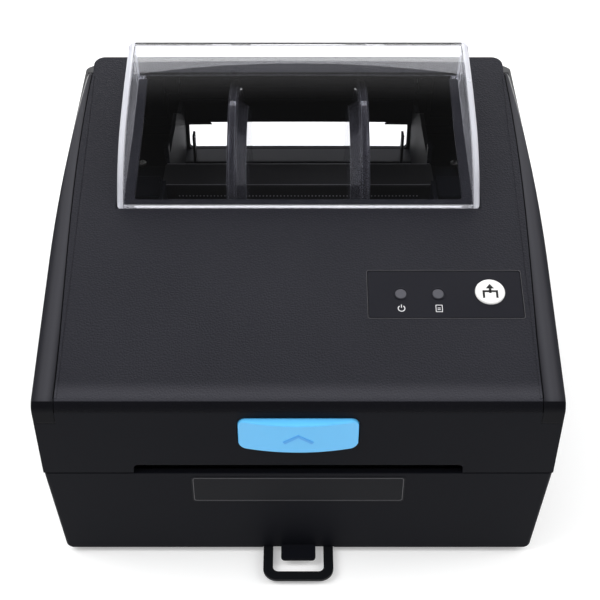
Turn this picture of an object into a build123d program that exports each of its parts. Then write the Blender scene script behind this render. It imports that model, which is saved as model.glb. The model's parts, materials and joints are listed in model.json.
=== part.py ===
from build123d import *
import math
import os

# A desktop label printer with a clamshell lid, in millimetres.
# X runs to the right seen from the front, Y runs to the back, Z is up.
# The origin is under the middle of the part, on the surface that it stands on.
# Depths are measured back from the front face, heights up from the casing's bottom edge.

os.makedirs("parts", exist_ok=True)

# Casing
body_width = 190.0
body_depth = 226.0
foot_drop = 2.0
base_bottom_half = 91.5
seam_height = 46.3
seam_gap = 0.5
casing_wall = 2.5
floor_thickness = 2.5
corner_radius = 3.0
shoulder_height = 97.0
shoulder_radius = 43.0

# Lid roof: one incline from the front lip to the ridge, then a fall to the hinge
roof_angle = 13.34
roof_foot = 82.74
lip_height = 79.3
lip_radius = 4.2
ridge_depth = 159.5
ridge_radius = 5.0
panel_thickness = 2.4
panel_half_width = 86.9
panel_gap = 0.3
panel_back_radius = 4.5
panel_back = 166.3
wing_back = 157.2
lid_roof = 2.0
wing_drop = 5.6

# Hinge
hinge_depth = 218.0
hinge_height = 78.0
hinge_roll = 7.0
hinge_pin_radius = 2.0
hinge_ear_radius = 6.5
hinge_ear_width = 12.0
hinge_ear_centre = 74.0
hinge_side_gap = 0.4
knuckle_width = 7.0
rise_foot_depth = 192.0
rise_top_depth = 204.0
rise_height = 71.0

# Running and seating clearances
running_fit = 0.05
seat_gap = 0.3
slip_fit = 0.02

# Roof window
window_front = 86.8
window_back = 157.0
window_half_foot = 71.4
window_half_top = 70.2
window_top = 136.2
window_shoulder_depth = 111.4
window_shoulder_height = 126.7
window_front_radius = 40.0
window_crown_radius = 184.6
window_back_radius = 5.0
window_wall = 2.4
window_edge = 1.5
rebate_slack = 0.4
opening_half = 64.8
opening_front = 92.0
opening_back = 155.8

# Front slot, release button and rear slot
slot_half = 61.2
slot_height = 4.6
button_half = 21.8
button_bottom = 61.6
button_top = 76.2
button_end_bulge = 1.0
button_mid_bulge = 3.6
button_travel = 3.0
rear_slot_half = 58.4
rear_slot_bottom = 34.2
rear_slot_top = 50.7

# Control panel
bezel_left = 26.2
bezel_right = 83.7
bezel_front = 36.5
bezel_back = 57.0
bezel_thickness = 0.8
lens_radius = 2.1
lens_spots = (38.4, 52.4)
lens_depth = 47.0
feed_spot = 71.9
feed_depth = 47.7
feed_radius = 5.6
feed_travel = 1.0
board_drop = 9.0
board_thickness = 1.6
board_boss_spots = (29.5, 80.5)
hatch_width = 46.0
hatch_margin = 7.4
hatch_length = 15.5
board_length = 16.0
feed_proud = 0.6
feed_flange = 1.2
tact_height = 3.2
screw_radius = 1.25
boss_radius = 3.5
liner_drop = 16.0
liner_thickness = 2.0
liner_front = 34.0
liner_half = 88.0
liner_boss_x = 82.0
liner_boss_depths = (64.0, 84.0)
skin_slack = 0.1

# Media bay
bay_half = 60.0
tray_wall = 2.0
bay_floor = 22.0
bay_front = 101.0
bay_back = 211.0
bridge_height = 45.0
bridge_front = 30.0
bridge_back = 62.0
bay_wall_top = 74.0
bay_wall_foot = 126.0
bay_wall_end = 195.0
box_front = 133.0
box_step = 148.0
box_back = 166.0
box_foot = 60.0
box_low_top = 65.0
box_top = 73.0
box_outer = 74.0
fin_spot = 54.7
fin_height = 52.0
sensor_slot_left = -46.0
sensor_slot_right = 20.0
sensor_depth = 49.0
sensor_slot_width = 6.0
sensor_half = 8.0
sensor_stem_half = 5.0
deck_height = 42.0
deck_front = 47.0
deck_outer = 91.4

# Roll holder
bar_depth = 151.0
bar_top = 71.5
bar_width = 16.3
bar_height = 8.0
bar_half = 61.8
bar_sheet = 2.0
flange_radius = 44.4
flange_inner = 26.0
flange_rim = 4.1
flange_dish_radius = 34.5
flange_dish = 3.6
rack_module = 0.5
centring_teeth = 16
inward_pitches = 9
outward_pitches = 17

# Print mechanism
platen_depth = 17.0
platen_radius = 7.5
platen_half = 56.0
shaft_radius = 2.5
frame_inner = 64.0
frame_sheet = 1.6
gear_module = 0.6
platen_teeth = 32
idler_small_teeth = 18
idler_module = 0.5
idler_teeth = 45
pinion_teeth = 12
gear_plane = 72.0
gear_width = 5.0
big_gear_plane = 78.0
big_gear_width = 4.0
gear_slack = 0.12
idler_angle = -35.0
motor_angle = -10.0
motor_side = 28.0
motor_length = 32.0
head_gap = 0.3
head_pivot_depth = 52.0
head_pivot_height = 55.0
head_front = 9.0
head_back = 31.0
head_half = 56.0
head_strip = 1.8
sink_length = 24.0
sink_height = 8.6
sink_base = 3.5
sink_fin = 1.2
sink_fins = 8
bracket_sheet = 1.2
pivot_radius = 1.5
spring_depth = 40.0
spring_spot = 35.0
spring_radius = 3.5
spring_wire = 0.8
spring_turns = 5
latch_depth = 24.0
latch_height = 74.0
latch_radius = 2.5
latch_ear = 58.0
latch_ear_sheet = 2.5
catch_depth = 24.5
catch_height = 40.0
catch_radius = 1.8
lever_half = 4.0
lever_thickness = 3.0
lever_length = 12.4
hook_far = 70.5
hook_sheet = 2.0
hook_strap = 5.0
hook_nose = 3.5
button_flange = 1.5
button_lip = 1.5

# Web comb
comb_half = 57.0
comb_depth = 3.0
comb_pitch = 1.63
comb_teeth = 67

# Base fittings
plate_thickness = 1.3
plate_step = 5.0
plate_gap = 0.15
plate_posts_x = 50.0
plate_post_depths = (122.0, 192.0)
screw_head = 2.2
screw_head_height = 1.4
screw_length = 5.0
foot_radius = 7.0
foot_spot = 80.0
foot_depths = (14.0, 212.0)
guide_half = 20.0
guide_front = 5.0
guide_back = 21.0
guide_thickness = 1.2
guide_peg_spot = 17.3
frame_front = 8.0
frame_back = 58.0
frame_foot = 8.0
frame_flange = 12.4
frame_tower_back = 30.0
frame_screw_x = 71.8
frame_screw_depths = (14.0, 52.0)
bushing_radius = 4.5
bushing_flange = 5.5
bushing_reach = 1.0
post_radius = 1.5
motor_shaft_radius = 1.5
motor_boss = 4.9
tray_boss_x = 80.0
tray_boss_depths = (64.0, 196.0)
tongue_thickness = 1.2
port_gap = 0.2
switch_spot = -76.0
switch_height = 17.0
switch_width = 19.0
switch_tall = 13.0
switch_body_depth = 12.0
switch_flange = 1.0
switch_rim = 1.2
rocker_half = 7.0
rocker_tall = 7.8
rocker_window_half = 7.5
rocker_window_tall = 9.0
rocker_pivot = 222.2
rocker_swing = 7.0
rocker_pin = 1.0
board_height = 5.0
main_board_front = 112.0
main_board_back = 222.0
main_board_half = 56.0
port_front = 212.0
jack_spot = -36.0
jack_width = 9.0
jack_tall = 11.0
usb_spot = 10.0
usb_width = 12.0
usb_tall = 10.8

# Bail under the front edge
bail_reach = 15.6
bail_width = 27.4
bail_bar = 3.8
bail_thickness = 1.2
bail_inner_length = 28.0
bail_travel = 14.0
tongue_width = 13.5
tongue_reach = 6.9
floor_opening_half = 67.0
floor_opening_front = 46.0
floor_opening_back = 205.0

front_y = (bail_reach - body_depth) / 2
platen_top = seam_height
platen_height = platen_top - platen_radius
board_top = board_height + board_thickness
half_width = body_width / 2
tan_roof = math.tan(math.radians(roof_angle))


def y_at(depth):
    return front_y + depth


def z_at(height):
    return foot_drop + height


def at(depth, height):
    return (y_at(depth), z_at(height))


def roof_at(depth):
    return roof_foot + depth * tan_roof


def slope_plane(drop):
    # A plane parallel to the roof, the given distance below it, with its origin over the front face.
    normal = (0, -math.sin(math.radians(roof_angle)), math.cos(math.radians(roof_angle)))
    top = Plane(origin=(0, y_at(0), z_at(roof_foot)), x_dir=(1, 0, 0), z_dir=normal)
    return top.offset(-drop)


def along(depth):
    # Distance up the slope of a point that lies at the given depth.
    return depth / math.cos(math.radians(roof_angle))


def fall_from(depth):
    # The straight fall from the roof at this depth on to the roll round the hinge: its angle and foot.
    run = hinge_depth - depth
    fall = hinge_height - roof_at(depth)
    angle = math.atan2(fall, run) + math.asin(hinge_roll / math.hypot(run, fall))
    reach = math.sqrt(run ** 2 + fall ** 2 - hinge_roll ** 2)
    return angle, depth + reach * math.cos(angle), roof_at(depth) + reach * math.sin(angle)


back_angle, back_foot_depth, back_foot_height = fall_from(ridge_depth)


def lid_outline(inset):
    # Side view of the lid, inset all round except at the open bottom.
    with BuildSketch(Plane.YZ) as outline:
        with BuildLine():
            FilletPolyline(
                at(0, seam_height + seam_gap / 2),
                at(0, roof_foot),
                at(ridge_depth, roof_at(ridge_depth)),
                at(back_foot_depth, back_foot_height),
                radius=[lip_radius, ridge_radius],
            )
            start = 90 + math.degrees(back_angle)
            CenterArc(at(hinge_depth, hinge_height), hinge_roll, start, -start - 90)
            FilletPolyline(
                at(hinge_depth, hinge_height - hinge_roll),
                at(rise_top_depth, rise_height),
                at(rise_foot_depth, seam_height + seam_gap / 2),
                at(0, seam_height + seam_gap / 2),
                radius=4.0,
            )
        make_face()
        if inset:
            offset(amount=-inset)
    return outline.sketch


def lid_section(inset):
    # Front view of the lid: upright sides with broad shoulders, open-ended above the roof.
    with BuildSketch(Plane.XZ) as section:
        with Locations((0, z_at(shoulder_height + shoulder_radius) / 2)):
            Rectangle(body_width, z_at(shoulder_height + shoulder_radius))
        fillet(section.vertices().group_by(Axis.Y)[-1], shoulder_radius)
        if inset:
            offset(amount=-inset)
    return section.sketch


def lid_solid(inset):
    with BuildPart() as solid:
        extrude(lid_outline(inset), amount=half_width, both=True)
        extrude(lid_section(inset), amount=body_depth, both=True, mode=Mode.INTERSECT)
    return solid.part


def roof_band(top_drop, thickness, front_height, back_depth):
    # Side view of a skin that follows the roof and turns down over the front lip.
    with BuildSketch(Plane.YZ) as band:
        with BuildLine():
            outer = FilletPolyline(
                at(top_drop, front_height),
                at(top_drop, roof_at(top_drop) - top_drop),
                at(back_depth, roof_at(back_depth) - top_drop),
                radius=lip_radius - top_drop,
            )
            offset(outer, amount=thickness, side=Side.RIGHT)
        make_face()
    return band.sketch


lid_envelope = lid_solid(0)

# Top panel, from the front lip to the ridge, with the window rebate and the control recess
with BuildPart() as panel:
    extrude(roof_band(0, panel_thickness, lip_height, panel_back), amount=panel_half_width, both=True)
    fillet(panel.edges().filter_by(Axis.Z, tolerance=roof_angle + 1).group_by(Axis.Y)[-1], panel_back_radius)
    extrude(lid_section(0), amount=body_depth, both=True, mode=Mode.INTERSECT)
    with BuildSketch(slope_plane(0)):
        with Locations((0, along((opening_front + opening_back) / 2))):
            RectangleRounded(2 * opening_half, along(opening_back - opening_front), 1.5)
    extrude(amount=-10, mode=Mode.SUBTRACT)
    with BuildSketch(slope_plane(0)):
        with Locations((0, along((window_front + window_back) / 2))):
            Rectangle(2 * (window_half_foot + rebate_slack), along(window_back - window_front) + 2 * rebate_slack)
    extrude(amount=-panel_thickness / 2, mode=Mode.SUBTRACT)
    with BuildSketch(slope_plane(0)):
        with Locations(((bezel_left + bezel_right) / 2, along((bezel_front + bezel_back) / 2))):
            RectangleRounded(bezel_right - bezel_left + 0.2, along(bezel_back - bezel_front) + 0.2, 1.1)
    extrude(amount=-bezel_thickness, mode=Mode.SUBTRACT)
    with BuildSketch(slope_plane(0)):
        with Locations((feed_spot, along(feed_depth))):
            Circle(feed_radius + seat_gap)
        with Locations([(spot, along(lens_depth)) for spot in lens_spots]):
            Circle(lens_radius + seat_gap)
    extrude(amount=-10, mode=Mode.SUBTRACT)
panel.part.label = "top_panel"
export_step(panel.part, "parts/top_panel.step")

# Side wings, smooth strips outside the panel that turn down further over the front
wing_inner = panel_half_width + panel_gap


def wing_solid(side, slack):
    strip = roof_band(0, panel_thickness + slack, lip_height - wing_drop - slack, wing_back + slack)
    outward = Align.MIN if side > 0 else Align.MAX
    with BuildPart() as solid:
        extrude(strip, amount=half_width + slack, both=True)
        with Locations((side * (wing_inner - slack), 0, z_at(roof_foot))):
            Box(body_width, 2 * body_depth, body_width, align=(outward, Align.CENTER, Align.CENTER),
                mode=Mode.INTERSECT)
    return solid.part


for side, label in ((-1, "left_wing"), (1, "right_wing")):
    with BuildPart() as wing:
        add(wing_solid(side, 0))
        add(lid_envelope, mode=Mode.INTERSECT)
    wing.part.label = label
    export_step(wing.part, f"parts/{label}.step")

# Lid shell: front, sides and fall to the hinge, with an open roof frame under the panel
ear_near = hinge_ear_centre - hinge_ear_width / 2 - hinge_side_gap
ear_far = hinge_ear_centre + hinge_ear_width / 2 + hinge_side_gap
ear_front = hinge_depth - hinge_ear_radius - seat_gap
liner_bosses = [(side * liner_boss_x, along(depth)) for side in (-1, 1) for depth in liner_boss_depths]
board_bosses = [(x, along(lens_depth)) for x in board_boss_spots]
roof_under = panel_thickness + lid_roof
with BuildSketch(Plane.YZ) as mouth:
    with BuildLine():
        Polyline(
            at(casing_wall, 0),
            at(casing_wall, seam_height + 8),
            at(rise_foot_depth - casing_wall, seam_height + 8),
            at(rise_top_depth - casing_wall, rise_height + 4),
            at(hinge_depth, rise_height + 4),
            at(hinge_depth, 0),
            close=True,
        )
    make_face()

with BuildPart() as lid_shell:
    add(lid_envelope)
    add(lid_solid(casing_wall), mode=Mode.SUBTRACT)
    extrude(mouth.sketch, amount=half_width - casing_wall, both=True, mode=Mode.SUBTRACT)
    # The second skin under the panel and the wings carries the ribs and the bosses.
    under_skin = roof_band(panel_thickness, lid_roof, lip_height - wing_drop, ridge_depth)
    extrude(under_skin, amount=half_width - casing_wall, both=True)
    with BuildSketch(slope_plane(panel_thickness + lid_roof / 2)):
        with Locations(liner_bosses):
            Circle(boss_radius)
    extrude(amount=-(liner_drop - panel_thickness - lid_roof / 2))
    with BuildSketch(slope_plane(panel_thickness + lid_roof / 2)):
        with Locations(board_bosses):
            Circle(screw_radius * 2)
    extrude(amount=-(board_drop - panel_thickness - lid_roof / 2))
    for side in (-1, 1):
        with BuildSketch(Plane.YZ.offset(side * latch_ear - latch_ear_sheet / 2)):
            with Locations(at(latch_depth, (latch_height + roof_at(latch_depth)) / 2 - roof_under / 2)):
                Rectangle(4 * latch_radius, roof_at(latch_depth) - latch_height - lid_roof)
            with Locations(at(latch_depth, latch_height)):
                Circle(2 * latch_radius)
        extrude(amount=latch_ear_sheet)
        for near in (ear_near - knuckle_width, ear_far):
            with BuildSketch(Plane.YZ.offset(near if side > 0 else -near - knuckle_width)):
                with Locations(at(hinge_depth, hinge_height)):
                    Circle(hinge_roll)
            extrude(amount=knuckle_width)
    add(lid_envelope, mode=Mode.INTERSECT)
    side_foot = at(*fall_from(wing_back)[1:])
    over_ridge = z_at(roof_at(ridge_depth)) + 1
    for side in (-1, 1):
        with BuildSketch(Plane.YZ.offset(side * wing_inner)):
            with BuildLine():
                Polyline(
                    at(wing_back, roof_at(wing_back)),
                    side_foot,
                    (side_foot[0], over_ridge),
                    (y_at(wing_back), over_ridge),
                    close=True,
                )
            make_face()
        extrude(amount=side * (half_width - wing_inner), mode=Mode.SUBTRACT)
    skin = roof_band(0, panel_thickness, lip_height, panel_back + seat_gap)
    extrude(skin, amount=half_width, both=True, mode=Mode.SUBTRACT)
    for side in (-1, 1):
        add(wing_solid(side, skin_slack), mode=Mode.SUBTRACT)
        with Locations((side * hinge_ear_centre, y_at(ear_front), z_at(hinge_height))):
            Box(ear_far - ear_near, 4 * hinge_roll, 4 * hinge_roll, mode=Mode.SUBTRACT,
                align=(Align.CENTER, Align.MIN, Align.CENTER))
        with BuildSketch(Plane.YZ.offset(side * (ear_near - knuckle_width - 1))):
            with Locations(at(hinge_depth, hinge_height)):
                Circle(hinge_pin_radius + slip_fit)
        extrude(amount=side * (hinge_ear_width + 3 * knuckle_width), mode=Mode.SUBTRACT)
        with BuildSketch(Plane.YZ.offset(side * latch_ear - latch_ear_sheet)):
            with Locations(at(latch_depth, latch_height)):
                Circle(latch_radius + running_fit)
        extrude(amount=2 * latch_ear_sheet, mode=Mode.SUBTRACT)
    with BuildSketch(slope_plane(0)):
        with Locations((0, along((opening_front + opening_back + 3) / 2))):
            Rectangle(2 * opening_half + 2, along(opening_back - opening_front + 3) + 2)
        with Locations((feed_spot - hatch_width / 2 + hatch_margin, along(feed_depth))):
            Rectangle(hatch_width, hatch_length)
    extrude(amount=-roof_under - 1, mode=Mode.SUBTRACT)
    with BuildSketch(slope_plane(roof_under + 1.2)):
        with Locations(liner_bosses + board_bosses):
            Circle(screw_radius)
    extrude(amount=-liner_drop, mode=Mode.SUBTRACT)
    with BuildSketch(Plane.XZ.offset(-y_at(casing_wall))):
        with Locations((0, z_at((button_bottom + button_top) / 2))):
            Rectangle(2 * button_half + 2 * button_lip + 1, button_top - button_bottom + 2 * button_lip + 1)
    extrude(amount=-2 * lid_roof, mode=Mode.SUBTRACT)
    with BuildSketch(Plane.XZ.offset(-y_at(casing_wall + 1))):
        with Locations((0, z_at(seam_height))):
            RectangleRounded(2 * slot_half, 2 * slot_height, 2.0)
        with Locations((0, z_at((button_bottom + button_top) / 2))):
            RectangleRounded(2 * (button_half + seat_gap), button_top - button_bottom + 2 * seat_gap, 3.0)
    extrude(amount=casing_wall + 2, mode=Mode.SUBTRACT)
lid_shell.part.label = "lid_shell"
export_step(lid_shell.part, "parts/lid_shell.step")

# Window: a clear curved hood with upright sides and a flat back, standing in the panel's rebate
rebate = panel_thickness / 2
glue_line = 0.03


def hood_solid(inset):
    # The hood, inset all round and run on below its foot.
    sink = 2 * window_wall
    with BuildPart() as solid:
        with BuildSketch(Plane.YZ) as side:
            with BuildLine():
                foot = at(window_front, roof_at(window_front) - rebate)
                shoulder = at(window_shoulder_depth, window_shoulder_height)
                crest = at(window_back - window_edge, window_top)
                heel_height = roof_at(window_back) - rebate - sink
                RadiusArc(foot, shoulder, window_front_radius)
                RadiusArc(shoulder, crest, window_crown_radius)
                Polyline(
                    crest,
                    at(window_back, window_top - window_edge),
                    at(window_back, heel_height),
                    at(window_front, roof_at(window_front) - rebate - sink),
                    foot,
                )
            make_face()
            if inset:
                offset(amount=-inset)
        extrude(amount=window_half_foot, both=True)
        with BuildSketch(Plane.XZ) as front:
            low = z_at(roof_at(window_front) - rebate)
            with BuildLine():
                Polyline(
                    (-window_half_foot + inset, low - sink),
                    (-window_half_foot + inset, low),
                    (-window_half_top + inset, z_at(window_top)),
                    (window_half_top - inset, z_at(window_top)),
                    (window_half_foot - inset, low),
                    (window_half_foot - inset, low - sink),
                    close=True,
                )
            make_face()
        extrude(amount=body_depth, both=True, mode=Mode.INTERSECT)
        upright = solid.edges().filter_by(Axis.X, reverse=True).filter_by(Axis.Y, reverse=True)
        rear = upright.filter_by(lambda edge: edge.center().Y > y_at(window_back - window_edge / 2) - inset)
        fillet(rear.filter_by(lambda edge: edge.length > window_edge * 2), window_back_radius - inset)
    return solid.part


with BuildPart() as window:
    add(hood_solid(0))
    rims = window.edges().filter_by(GeomType.LINE, reverse=True)
    chamfer(rims.filter_by(lambda edge: edge.center().Y < y_at(window_back - 8)), window_wall * 0.4)
    add(hood_solid(window_wall), mode=Mode.SUBTRACT)
    split(bisect_by=slope_plane(rebate - glue_line))
window.part.label = "window"
export_step(window.part, "parts/window.step")

# Control bezel, a thin plate let into the panel, with its two lenses and the feed button
with BuildPart() as bezel:
    with BuildSketch(slope_plane(0)):
        with Locations(((bezel_left + bezel_right) / 2, along((bezel_front + bezel_back) / 2))):
            RectangleRounded(bezel_right - bezel_left, along(bezel_back - bezel_front), 1.0)
        with Locations((feed_spot, along(feed_depth))):
            Circle(feed_radius + running_fit * 2, mode=Mode.SUBTRACT)
        with Locations([(spot, along(lens_depth)) for spot in lens_spots]):
            Circle(lens_radius, mode=Mode.SUBTRACT)
    extrude(amount=-bezel_thickness)
bezel.part.label = "control_bezel"
export_step(bezel.part, "parts/control_bezel.step")

with BuildPart() as lenses:
    with BuildSketch(slope_plane(0)):
        with Locations([(spot, along(lens_depth)) for spot in lens_spots]):
            Circle(lens_radius)
    extrude(amount=-board_drop)
lenses.part.label = "status_lenses"
export_step(lenses.part, "parts/status_lenses.step")

with BuildPart() as feed_button:
    with BuildSketch(slope_plane(-feed_proud)):
        with Locations((feed_spot, along(feed_depth))):
            Circle(feed_radius)
    extrude(amount=-(board_drop + feed_proud - tact_height - feed_travel - 0.1))
    chamfer(feed_button.edges().filter_by(GeomType.CIRCLE).sort_by(Axis.Z)[-1], 0.4)
    with BuildSketch(slope_plane(panel_thickness + 0.2)):
        with Locations((feed_spot, along(feed_depth))):
            Circle(feed_radius + 3 * seat_gap + 0.4)
    extrude(amount=-feed_flange)
feed_button.part.label = "feed_button"
export_step(feed_button.part, "parts/feed_button.step")

# Panel board with the tact switch under the feed button
board_left = board_boss_spots[0] - boss_radius
board_right = board_boss_spots[1] + boss_radius
with BuildPart() as panel_board:
    with BuildSketch(slope_plane(board_drop)):
        with Locations(((board_left + board_right) / 2, along(lens_depth))):
            Rectangle(board_right - board_left, board_length)
        with Locations(board_bosses):
            Circle(screw_radius + running_fit, mode=Mode.SUBTRACT)
    extrude(amount=-board_thickness)
    with BuildSketch(slope_plane(board_drop)):
        with Locations((feed_spot, along(feed_depth))):
            Rectangle(6, 6)
    extrude(amount=tact_height - 0.8)
    with BuildSketch(slope_plane(board_drop - tact_height + 0.8)):
        with Locations((feed_spot, along(feed_depth))):
            Circle(1.7)
    extrude(amount=0.8)
panel_board.part.label = "panel_board"
export_step(panel_board.part, "parts/panel_board.step")

# Inner liner of the lid: a tray under the electronics, with the head's pivot lugs and spring seats
liner_back = opening_front - tray_wall
lug_inner = head_half + seat_gap + 1.2
liner_under = liner_drop + liner_thickness


def liner_under_height(depth):
    return roof_at(depth) - liner_under / math.cos(math.radians(roof_angle))


with BuildPart() as liner:
    with BuildSketch(slope_plane(liner_drop)):
        with Locations((0, along((liner_front + liner_back) / 2))):
            Rectangle(2 * liner_half, along(liner_back - liner_front))
        with Locations(liner_bosses):
            Circle(screw_radius + running_fit, mode=Mode.SUBTRACT)
    extrude(amount=-liner_thickness)
    with BuildSketch(slope_plane(roof_under)):
        with Locations((0, along(liner_back) - tray_wall / 2)):
            Rectangle(2 * opening_half - 2, tray_wall)
    extrude(amount=-(liner_under - roof_under))
    for side in (-1, 1):
        with BuildSketch(Plane.YZ.offset(side * (lug_inner + tray_wall / 2) - tray_wall / 2)):
            with Locations(at(head_pivot_depth, (head_pivot_height + liner_under_height(head_pivot_depth)) / 2)):
                Rectangle(9, liner_under_height(head_pivot_depth) - head_pivot_height + 3)
            with Locations(at(head_pivot_depth, head_pivot_height)):
                Circle(4.5)
        extrude(amount=tray_wall)
        with BuildSketch(Plane.YZ.offset(side * (lug_inner + tray_wall / 2) - tray_wall)):
            with Locations(at(head_pivot_depth, head_pivot_height)):
                Circle(pivot_radius + slip_fit)
        extrude(amount=2 * tray_wall, mode=Mode.SUBTRACT)
        with BuildSketch(Plane.XY.offset(z_at(liner_under_height(spring_depth) - 2.5))):
            with Locations((side * spring_spot, y_at(spring_depth))):
                Circle(spring_radius - spring_wire - 0.3)
        extrude(amount=3.5)
liner.part.label = "lid_liner"
export_step(liner.part, "parts/lid_liner.step")

# Toothed strip along the front edge of the roof opening
with BuildPart() as comb:
    with BuildSketch(slope_plane(roof_under + 0.3)):
        with Locations((0, along(liner_back))):
            Rectangle(2 * comb_half, comb_depth, align=(Align.CENTER, Align.MIN))
        with GridLocations(comb_pitch, 1, comb_teeth, 1):
            with Locations((0, along(liner_back) + comb_depth)):
                Triangle(a=comb_pitch, B=60, C=60, align=(Align.CENTER, Align.MIN))
    extrude(amount=-1.2)
comb.part.label = "web_comb"
export_step(comb.part, "parts/web_comb.step")

# Print head: ceramic strip, finned heat sink and sheet bracket, swinging together on one pin
head_foot = platen_top + head_gap
sink_foot = head_foot + head_strip
sink_top = sink_foot + sink_height
with BuildPart() as print_head:
    with BuildSketch(Plane.XY.offset(z_at(head_foot))):
        with Locations((0, y_at((head_front + head_back) / 2))):
            Rectangle(2 * head_half - 4, head_back - head_front)
    extrude(amount=head_strip)
    chamfer(print_head.edges().filter_by(Axis.X).group_by(Axis.Z)[0].sort_by(Axis.Y)[0], head_strip / 2)
print_head.part.label = "print_head"
export_step(print_head.part, "parts/print_head.step")

with BuildPart() as heat_sink:
    with BuildSketch(Plane.YZ.offset(-head_half + 1.5)):
        with Locations(at(head_front, sink_foot)):
            Rectangle(sink_length, sink_base, align=(Align.MIN, Align.MIN))
        for fin in range(sink_fins):
            with Locations(at(head_front + fin * (sink_length - sink_fin) / (sink_fins - 1), sink_foot)):
                Rectangle(sink_fin, sink_height, align=(Align.MIN, Align.MIN))
    extrude(amount=2 * head_half - 3)
heat_sink.part.label = "heat_sink"
export_step(heat_sink.part, "parts/heat_sink.step")

bracket_back = head_pivot_depth + 4.5
with BuildPart() as head_bracket:
    with BuildSketch(Plane.YZ.offset(-head_half)):
        with Locations(at(head_front, sink_top)):
            Rectangle(bracket_back - head_front, bracket_sheet, align=(Align.MIN, Align.MIN))
    extrude(amount=2 * head_half)
    for near in (-head_half, head_half - bracket_sheet):
        with BuildSketch(Plane.YZ.offset(near)):
            with BuildLine():
                FilletPolyline(
                    at(head_front, sink_top + bracket_sheet),
                    at(head_front, sink_foot),
                    at(head_pivot_depth - 8, sink_foot),
                    at(bracket_back, head_pivot_height - 4),
                    at(bracket_back, sink_top + bracket_sheet),
                    close=True,
                    radius=[0, 1, 3, 2, 0],
                )
            make_face()
            with Locations(at(head_pivot_depth, head_pivot_height)):
                Circle(pivot_radius + running_fit, mode=Mode.SUBTRACT)
        extrude(amount=bracket_sheet)
    with BuildSketch(Plane.XY.offset(z_at(sink_top))):
        with GridLocations(2 * spring_spot, 1, 2, 1):
            with Locations((0, y_at(spring_depth))):
                Circle(spring_radius - spring_wire - 0.3)
    extrude(amount=3)
head_bracket.part.label = "head_bracket"
export_step(head_bracket.part, "parts/head_bracket.step")

with BuildPart() as head_pin:
    with BuildSketch(Plane.YZ.offset(-lug_inner - tray_wall)):
        with Locations(at(head_pivot_depth, head_pivot_height)):
            Circle(pivot_radius)
    extrude(amount=2 * (lug_inner + tray_wall))
head_pin.part.label = "head_pivot_pin"
export_step(head_pin.part, "parts/head_pivot_pin.step")

# Two pressure springs between the liner and the head bracket
spring_foot = sink_top + bracket_sheet
spring_length = liner_under_height(spring_depth - spring_radius) - spring_foot - spring_wire - 0.1
with BuildPart() as springs:
    for side in (-1, 1):
        foot = (side * spring_spot, y_at(spring_depth), z_at(spring_foot) + spring_wire / 2)
        coil = Helix(spring_length / spring_turns, spring_length, spring_radius - spring_wire / 2, center=foot)
        with BuildSketch(Plane(origin=coil @ 0, z_dir=coil % 0)):
            RegularPolygon(spring_wire / 2, 6)
        sweep(path=coil, is_frenet=True)
springs.part.label = "head_springs"
export_step(springs.part, "parts/head_springs.step")

# Latch: a shaft across the lid with the release lever in the middle and a hook at each end
with BuildPart() as latch_shaft:
    with BuildSketch(Plane.YZ.offset(-hook_far)):
        with Locations(at(latch_depth, latch_height)):
            Circle(latch_radius)
    extrude(amount=2 * hook_far)
latch_shaft.part.label = "latch_shaft"
export_step(latch_shaft.part, "parts/latch_shaft.step")

with BuildPart() as lever:
    with BuildSketch(Plane.YZ.offset(-lever_half)):
        with Locations(at(latch_depth, latch_height)):
            Circle(2 * latch_radius)
        with Locations(at(latch_depth, latch_height)):
            Rectangle(lever_thickness, lever_length, align=(Align.CENTER, Align.MAX))
        with Locations(at(latch_depth, latch_height)):
            Circle(latch_radius, mode=Mode.SUBTRACT)
    extrude(amount=2 * lever_half)
lever.part.label = "release_lever"
export_step(lever.part, "parts/release_lever.step")

nose_top = catch_height - catch_radius - seat_gap
strap_front = catch_depth + catch_radius + 0.5
for side, label in ((-1, "left_hook"), (1, "right_hook")):
    with BuildPart() as hook:
        with BuildSketch(Plane.YZ.offset(side * (hook_far - hook_sheet / 2) - hook_sheet / 2)):
            with BuildLine():
                FilletPolyline(
                    at(latch_depth - 3, latch_height),
                    at(latch_depth + 4, latch_height),
                    at(strap_front + hook_strap, latch_height - 14),
                    at(strap_front + hook_strap, nose_top - hook_nose),
                    at(catch_depth - 1, nose_top - hook_nose),
                    at(catch_depth - 2, nose_top),
                    at(strap_front, nose_top),
                    at(strap_front, latch_height - 14),
                    close=True,
                    radius=[0, 0, 6, 2, 0.5, 0.4, 0.5, 5],
                )
            make_face()
            with Locations(at(latch_depth, latch_height)):
                Circle(2 * latch_radius)
                Circle(latch_radius, mode=Mode.SUBTRACT)
        extrude(amount=hook_sheet)
    hook.part.label = label
    export_step(hook.part, f"parts/{label}.step")

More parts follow.
